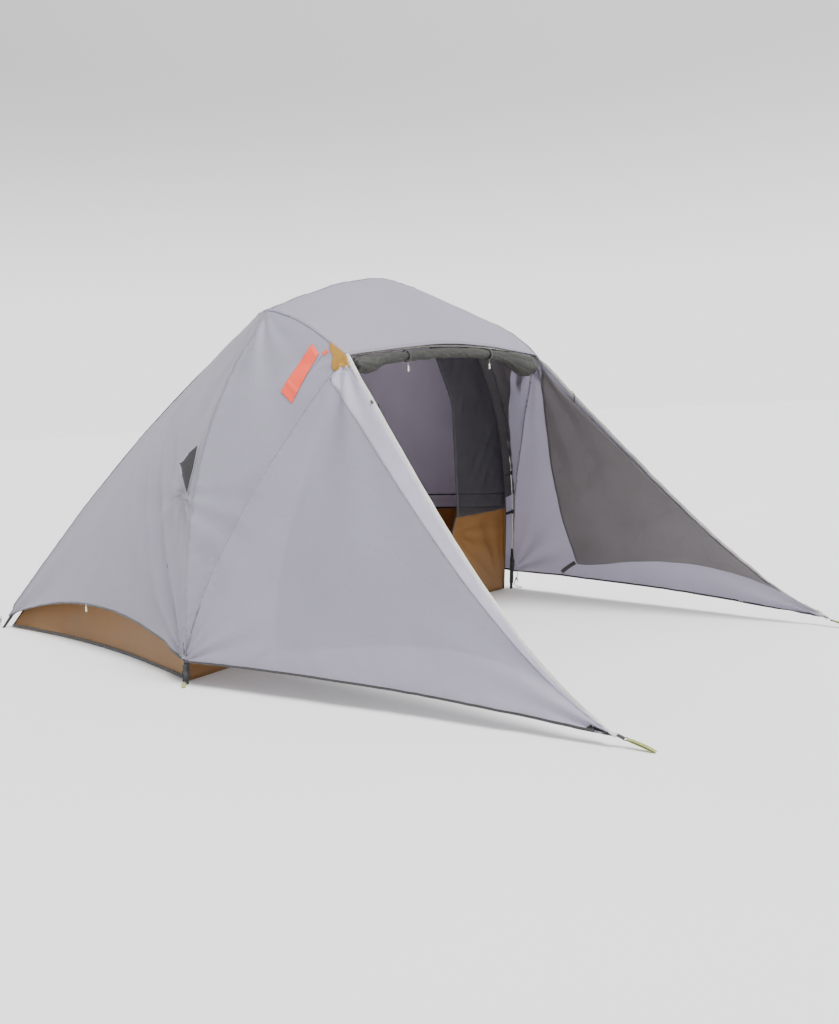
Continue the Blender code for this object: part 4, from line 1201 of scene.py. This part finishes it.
def barrel(name, hook, body, **rest):
    """A barrel toggle on its cord, hanging from a hook. A level is a radius and its depth."""
    levels = np.array([(0.0010, 0.0010), (0.0010, 0.0135), (0.0030, 0.0150), (0.0042, 0.0175),
                       (0.0046, 0.0215), (0.0038, 0.0245), (0.0038, 0.0285), (0.0046, 0.0315),
                       (0.0044, 0.0360), (0.0032, 0.0395), (0.0008, 0.0412)])
    line = np.asarray(hook) + xyz(0.0, 0.0, -levels[:, 1])
    tube(name, line, levels[:, 0], "pale", "toggle_plastic", body, sides=20, **rest)


def roll_toggles():
    for word, s in TIE_PLACES:
        s = np.array(s)
        hook = roll_centre(s) + xyz(0.0, -0.006, -(roll_radius(s) + 0.0062))
        node = "roll_toggle_" + word
        barrel(node + "_barrel", hook, node, stands_for=(node,))


# ---- vents, strips and patches on the fly ---------------------------------------------------
def vent_places(side):
    """Ends of the hood's hinge line and its free corner."""
    found = []
    for u, v, lift in ((0.945, 0.465, 0.0070), (0.935, 0.60, 0.0070), (0.865, 0.52, 0.063)):
        found.append(raised(side_panel(side, np.array(u), np.array(v)), FLY_OUT + lift))
    return found, side_panel(side, np.array(0.91), np.array(0.52))[1]


def side_vents(cloth):
    """Hooded vents: a near-black window, a puffed hood over it in the same near-black, and its bound edge.
    The near-black is partly the mesh's own colour and partly painted shade of the hollow under the hood;
    the binding and hinge tape are a lighter grey with painted highlight.
    """
    for side, word in SIDES:
        (low, high, free), outward = vent_places(side)
        share, across = np.meshgrid(shares(28), shares(20))
        edge = low + (high - low) * share[..., None]
        reach = across * (1.0 - 0.9 * np.abs(share - 0.45))
        points = edge + (free - edge) * reach[..., None]
        puff = 0.010 * hump(share) * hump(across) + 0.0016 * noise(points, 0.025, 91)
        points = points + outward * puff[..., None]
        body = "vent_hood_" + word
        sheet("vent_hood_cloth_" + word, points, "window", "inner_mesh", "stretched",
              ["vent_prop_" + word], 0.0014, body=body, stands_for=(body,))
        ribbon("vent_hood_binding_" + word, points[-1], outward, 0.007, 0.0026, "band",
               "fly_fabric", body)
        u = 0.940 - 0.070 * across * (1.0 - 1.9 * np.abs(share - 0.42))
        v = 0.475 + 0.115 * share + (0.523 - 0.475 - 0.115 * share) * across
        window, _ = cloth.lay(side_panel(side, u, v), 0.0016)
        sheet("vent_window_" + word, window, "window", "inner_mesh", "stretched", ["fly"], 0.0008)
        hinge = side_panel(side, np.full(30, 0.944), np.linspace(0.455, 0.61, 30))
        tape_along(cloth, "vent_hinge_tape_" + word, hinge, 0.014, 0.0016, "band", "fly_fabric", 0.0030)


def bright_strips(cloth):
    """Bright strips sewn by their top ends to the gussets, with a tiny tab beside each."""
    for side, word in SIDES:
        q, r = np.meshgrid(shares(22), shares(70))
        u = (0.185 - 0.045 * r) + (0.100 + 0.055 * r) * q
        v = 0.958 - 0.146 * r + 0.010 * q
        settled, facing = cloth.lay(gusset_panel(side, u, v))
        slack = 0.0030 + 0.0022 * noise(settled, 0.05, 95) + 0.0035 * np.exp(-((r - 0.80) / 0.05) ** 2)
        points = settled + facing * (slack * smooth(r / 0.08) + 0.0016)[..., None]
        sheet("bright_strip_" + word, points, "orange", "loop_webbing", "hung", ["fly"], 0.0009)
        tab = gusset_panel(side, np.linspace(0.135, 0.150, 12), np.linspace(0.978, 0.962, 12))
        tape_along(cloth, "bright_tab_" + word, tab, 0.014, 0.0014, "orange", "loop_webbing", 0.0026)
        stitches = gusset_panel(side, np.linspace(0.150, 0.170, 20), np.linspace(0.960, 0.870, 20))
        tape_along(cloth, "tab_stitching_" + word, stitches, 0.005, 0.0010, "seam", "fly_fabric", 0.0016)


def brow_patches(cloth):
    """Tough patches that wrap the brow pole's ends, from the gusset round to the wing."""
    for side, word in SIDES:
        angle, share = np.meshgrid(np.linspace(0.0, 172.0, 41), 0.04 + 0.96 * shares(14))
        turn = np.radians(angle)
        reach = share * (0.066 + 0.012 * np.cos(np.radians(4.0 * angle)) - 0.010 * angle / 172.0)
        v = 1.0 - reach * np.sin(turn) / 1.40
        on_gusset = gusset_panel(side, np.clip(reach * np.cos(turn) / 0.50, 0.0, 1.0), v)
        on_wing = wing_panel(side, np.clip(-reach * np.cos(turn) / 2.0, 0.0, 1.0), v)
        patch = [np.where((angle < 90.0)[..., None], near, far) for near, far in zip(on_gusset, on_wing)]
        settled, _ = cloth.lay(patch, 0.0030)
        sheet("brow_patch_" + word, settled, "patch", "tub_fabric", "stretched", ["fly"], 0.0014,
              stands_for=("brow_pocket_" + word,))


def folded_loop(name, lower, upper, turn, end_out, up, width, thickness, body=TENT, **rest):
    """A loop of tape: out along lower, round its turn and back along upper."""
    facing = np.concatenate([np.tile(-up, (len(lower), 1)), end_out[None], np.tile(up, (len(upper), 1))])
    ribbon(name, np.concatenate([lower, turn[None], upper]), facing, width, thickness, "green_tape",
           "loop_webbing", body, **rest)


def wing_tips(cloth):
    """Each wing's tip: a dark patch, a ring on a short tape and a folded loop for the stake."""
    for side, word in SIDES:
        u, v = np.meshgrid(0.945 + 0.030 * shares(10), 0.12 + 0.50 * shares(10))
        settled, _ = cloth.lay(wing_panel(side, u, v), 0.0014)
        sheet("tip_patch_" + word, settled, "roll", "fly_liner", "stretched", ["fly"], 0.0008)
        body = "tip_tab_" + word
        hook = np.array((side * 0.982, -2.925, 0.030))
        start = raised(wing_panel(side, np.array(0.975), np.array(0.5)))
        bend = shares(16)
        line = mix(start, hook, bend) + xyz(0.0, 0.0, 0.004 * hump(bend))
        ribbon("tip_tape_" + word, line, unit(np.array((side * 0.3, -0.1, 0.95))), 0.016, 0.0018, *BLACK)
        angle = np.linspace(0.0, 2.0 * math.pi, 41)
        ring = hook + xyz(0.0113 * np.cos(angle), 0.0113 * np.sin(angle) - 0.004, 0.002 * np.sin(angle))
        tube("tip_ring_" + word, ring, 0.0017, "moulding", "moulding", body, sides=10)
        end = np.array((side * 0.975, -3.028, 0.0016))
        slope = unit(end - hook)
        up = unit(np.cross((1.0, 0.0, 0.0), slope))
        up = up * (1.0 if up[2] > 0.0 else -1.0)
        out, back = shares(20), shares(20)[::-1]
        lower = hook + (end - hook) * (0.10 + 0.90 * out)[:, None]
        rise = up * (0.0030 + 0.0035 * hump(back))[:, None]
        upper = hook + (end - hook) * (0.07 + 0.93 * back)[:, None] + rise
        folded_loop("stake_loop_" + word, lower, upper, end + slope * 0.0016 + up * 0.0015, slope, up,
                    0.017, 0.0013, body, stands_for=(body,))


def zip_pulls():
    """Sliders at the top of the wings' zips, each with a short tape to pull."""
    for side, word in SIDES:
        edge = wing_edge(side, np.array(0.13))
        place, outward = edge
        hook = raised(edge) + xyz(side * -0.016, -0.020, -0.004)
        body = "zip_pull_" + word
        drop = shares(14)
        line = hook + xyz(0.0016 * np.sin(drop * 3.0), 0.0, -0.0015 - 0.0485 * drop)
        ribbon("pull_tape_" + word, line, np.array((1.0, 0.0, 0.0)), 0.0065, 0.0020, *STITCHED, body,
               stands_for=(body,))
        along = unit(wing_edge(side, np.array(0.135))[0] - place)
        across = unit(np.cross(outward, along))
        block("zip_slider_" + word, raised(edge, FLY_OUT + 0.001), (along, across, outward),
              (0.013, 0.009, 0.0065), "moulding", "moulding")


# ---- straps, clips and small fittings -------------------------------------------------------
def strap_ends(side, place):
    if place == "front":
        return (np.array((side * (FRONT_HALF + 0.020), -HALF_DEPTH - 0.014, 0.016)),
                np.array((side * (FRONT_HALF + 0.026), -HALF_DEPTH - 0.030, 0.094)))
    return (np.array((side * (REAR_HALF + 0.012), HALF_DEPTH + 0.020, 0.016)),
            np.array((side * (REAR_HALF - 0.004), HALF_DEPTH + 0.012, 0.066)))


def corner_straps():
    """At each corner: a strap from the boot through its buckle to the hem, its tail and a loop."""
    for side, word in SIDES:
        for place in ("front", "rear"):
            low, high = strap_ends(side, place)
            along = unit(high - low)
            up = unit(np.cross(unit(np.cross(along, (0.0, 0.0, 1.0))), along))
            outward = corner_direction(place + "_foot", side)
            up = up * (1.0 if up @ outward > 0.0 else -1.0)
            t = shares(40)
            weave = 0.0036 * np.tanh((t - 0.5) * 14.0)
            name = "%s_strap_%s" % (place, word)
            ribbon(name, mix(low, high, t) + up * weave[:, None], up, 0.0175, 0.0015, *STITCHED)
            fall = shares(18)
            tail = (mix(low, high, 0.5) + along * (0.0085 - 0.030 * fall + 0.003 * hump(fall))[:, None]
                    + up * (0.0045 + 0.010 * smooth(fall * 1.6) - 0.003 * fall)[:, None])
            tail[:, 2] = np.maximum(tail[:, 2], 0.004)
            ribbon(name + "_tail", tail, up, 0.0165, 0.0012, *STITCHED,
                   "fly_buckle_%s_%s" % (place, word))
            foot_loop("%s_foot_loop_%s" % (place, word), low + outward * 0.004, outward)


def foot_loop(name, foot, outward):
    lie = shares(16)
    lower = foot + outward * (0.036 * lie)[:, None]
    lower[:, 2] = 0.010 - 0.0085 * smooth(lie)
    upper = lower[::-1] + xyz(0.0, 0.0, 0.0028 + 0.003 * hump(lie))
    turn = (lower[-1] + upper[0]) / 2.0 + outward * 0.0016
    folded_loop(name, lower, upper, turn, outward, np.array((0.0, 0.0, 1.0)), 0.016, 0.0012)


def pole_fittings():
    """Ferrules where the pole sections meet, and the clips that hang the inner tent."""
    for side, word in SIDES:
        runs = (("front", front_leg, (0.30, 0.63), (0.30, 0.45, 0.60, 0.75, 0.89)),
                ("rear", rear_leg, (0.28, 0.60), (0.33, 0.50, 0.66, 0.82)),
                ("roof", roof_arm, (0.5,), (0.25, 0.5, 0.75)))
        for kind, line, joints, clips in runs:
            for index, at in enumerate(joints):
                along = np.linspace(-1.0, 1.0, 7)
                sleeve = POLE_R + 0.0007 - 0.0005 * (np.abs(along) > 0.9)
                tube("%s_ferrule_%d_%s" % (kind, index, word), line(side, at + 0.014 * along)[0],
                     sleeve, "alloy", "pole_alloy", sides=16)
            for index, at in enumerate(clips):
                clip("%s_clip_%d_%s" % (kind, index, word), lambda t: line(side, t), at)


def clip(name, line, at):
    """A moulded clip around a pole, on a short tab sewn to the inner tent's seam."""
    place, _ = line(at + 0.0075 * np.linspace(-1.0, 1.0, 9))
    half = (0.0062, 0.0078, 0.0080, 0.0072)
    tube(name, place, np.array(half + (0.0070,) + half[::-1]), "moulding", "moulding", sides=16)
    centre, out = line(np.array(at))
    along = unit(line(np.array(at + 0.01))[0] - centre)
    tab = centre - out * np.linspace(0.0070, INNER_IN - 0.001, 8)[:, None]
    ribbon(name + "_tab", tab, unit(np.cross(out, along)), 0.016, 0.0020, *BLACK)


def boot_sleeves():
    """Black cloth sleeves around the feet of the front poles, above their boots."""
    for side, word in SIDES:
        t = np.linspace(0.022, 0.135, 40)
        size = 0.0118 - 0.0030 * smooth((t - 0.11) / 0.025)
        tube("boot_sleeve_" + word, front_leg(side, t)[0], size, *BLACK, sides=32, shape=slack_sleeve)


def slack_sleeve(angle, share):
    around = np.broadcast_arrays(np.cos(angle) * 0.012, np.sin(angle) * 0.012, share * 0.18)
    return 1.0 + 0.08 * noise(np.stack(around, -1), 0.013, 97)


def hem_fittings(cloth):
    """Hem toggles, the snap on each side, and the toggle tapes inside the wings' hems."""
    for side, word in SIDES:
        hook = raised(side_hem(side, np.array(0.47)), FLY_OUT + 0.0055) + xyz(0.0, 0.0, 0.004)
        barrel("hem_toggle_" + word, hook, TENT)
        place, outward = side_panel(side, np.array(0.863), np.array(0.225))
        settled, facing = cloth.lay((place[None], outward[None]))
        lift = np.array((0.0004, 0.0012, 0.0030, 0.0038, 0.0040))
        tube("side_snap_" + word, settled + facing * lift[:, None],
             np.array((0.0085, 0.0090, 0.0086, 0.0060, 0.0020)), "moulding", "moulding", sides=24)
        tape = wing_panel(side, 0.185 + 0.055 * shares(14), 0.020 + 0.085 * shares(14))
        tape_along(cloth, "hem_tape_" + word, tape, 0.022, 0.0022, *BLACK, -0.0035)


# ---- camera, light and floor ----------------------------------------------------------------
EYE = Vector((-3.873, -4.542, 1.131))
EYE_AZIMUTH = math.radians(-50.06)
EYE_DOWN = math.radians(5.966)
EYE_ROLL = math.radians(-2.991)
SKY = 0.77
BRIGHTER_SKY = (0.50, -0.10, 0.45)
KEY = 5.2
KEY_FROM = Vector((-0.10, -0.42, 0.90))
FAR_FLOOR = 2.02             # how bright the far floor looks; the sky matches it at the horizon
FLOOR_HALF = 60.0


def camera():
    data = bpy.data.cameras.new("camera")
    data.sensor_width = 36.0
    data.lens = 36.93
    data.clip_end = 200.0
    obj = bpy.data.objects.new("camera", data)
    bpy.context.scene.collection.objects.link(obj)
    back = Vector((math.sin(EYE_AZIMUTH) * math.cos(EYE_DOWN),
                   -math.cos(EYE_AZIMUTH) * math.cos(EYE_DOWN), math.sin(EYE_DOWN)))
    right = (-back).cross(Vector((0.0, 0.0, 1.0))).normalized()
    up = right.cross(-back)
    turned_right = right * math.cos(EYE_ROLL) + up * math.sin(EYE_ROLL)
    turned_up = up * math.cos(EYE_ROLL) - right * math.sin(EYE_ROLL)
    obj.matrix_world = (Matrix.Translation(EYE)
                        @ Matrix((turned_right, turned_up, back)).transposed().to_4x4())
    bpy.context.scene.camera = obj


def sky():
    """A soft white dome, brighter towards one side, that meets the far floor's brightness."""
    world = bpy.data.worlds.new("studio")
    bpy.context.scene.world = world
    world.use_nodes = True
    tree = world.node_tree
    direction = where(tree, "Generated")
    towards = add(tree, "ShaderNodeVectorMath", {0: direction, 1: BRIGHTER_SKY}, operation="DOT_PRODUCT")
    parts = add(tree, "ShaderNodeSeparateXYZ", {0: direction})
    above = add(tree, "ShaderNodeMapRange",
                {"Value": parts.outputs["Z"], "From Min": 0.06, "From Max": 0.30},
                interpolation_type="SMOOTHSTEP")
    dome = maths(tree, "MULTIPLY_ADD", towards.outputs["Value"], SKY, SKY)
    strength = add(tree, "ShaderNodeMix", {"A": FAR_FLOOR, "Factor": above.outputs["Result"], "B": dome})
    feed(tree, tree.nodes["Background"],
         {"Color": (1.0, 1.0, 1.0, 1.0), "Strength": strength.outputs["Result"]})


def sun():
    data = bpy.data.lights.new("key", "SUN")
    data.energy = KEY
    data.angle = math.radians(28.0)
    lamp = bpy.data.objects.new("key", data)
    bpy.context.scene.collection.objects.link(lamp)
    lamp.rotation_euler = KEY_FROM.to_track_quat("Z", "Y").to_euler()


def ground():
    mat, tree, shader = new_material("floor_finish", Roughness=0.9)
    pale = ramp(tree, clouds(tree, 0.6, 2.0), (0.84, 0.84, 0.84), (0.87, 0.87, 0.87))
    feed(tree, shader, {"Base Color": pale})
    mesh = bpy.data.meshes.new("ground")
    corners = [(x * FLOOR_HALF, y * FLOOR_HALF, 0.0) for x, y in ((-1, -1), (1, -1), (1, 1), (-1, 1))]
    mesh.from_pydata(corners, [], [(0, 1, 2, 3)])
    obj = show("ground", mesh, mat)
    obj.location.z = -0.0005


def dress_cad():
    """Better materials for the CAD nodes whose shape stays."""
    by_slot = {"webbing": "black_tape", "loop_webbing": "green_tape", "pole_alloy": "alloy",
               "moulding": "moulding", "toggle_plastic": "pale", "tub_fabric": "patch",
               "fly_fabric": "fly", "fly_liner": "roll", "inner_mesh": "rolled_mesh",
               "inner_fabric": "inner"}
    slots = {entry["node"]: entry["material_slot"] for entry in frame["record"]["subparts"]}
    for node, obj in frame["nodes"].items():
        for slot in obj.material_slots:
            slot.material = FINISH[by_slot[slots[node]]]


def main():
    camera()
    sky()
    sun()
    ground()
    dress_cad()
    cloth = build_fly()
    fly_trim(cloth)
    edge_bands(cloth)
    painted_shade_sheets(cloth)
    inner_walls()
    front_walls(cloth)
    tub_front()
    floor_sheet()
    inner_tapes()
    door_roll()
    inner_door_roll()
    roll_toggles()
    side_vents(cloth)
    bright_strips(cloth)
    brow_patches(cloth)
    wing_tips(cloth)
    zip_pulls()
    corner_straps()
    pole_fittings()
    boot_sleeves()
    hem_fittings(cloth)


main()
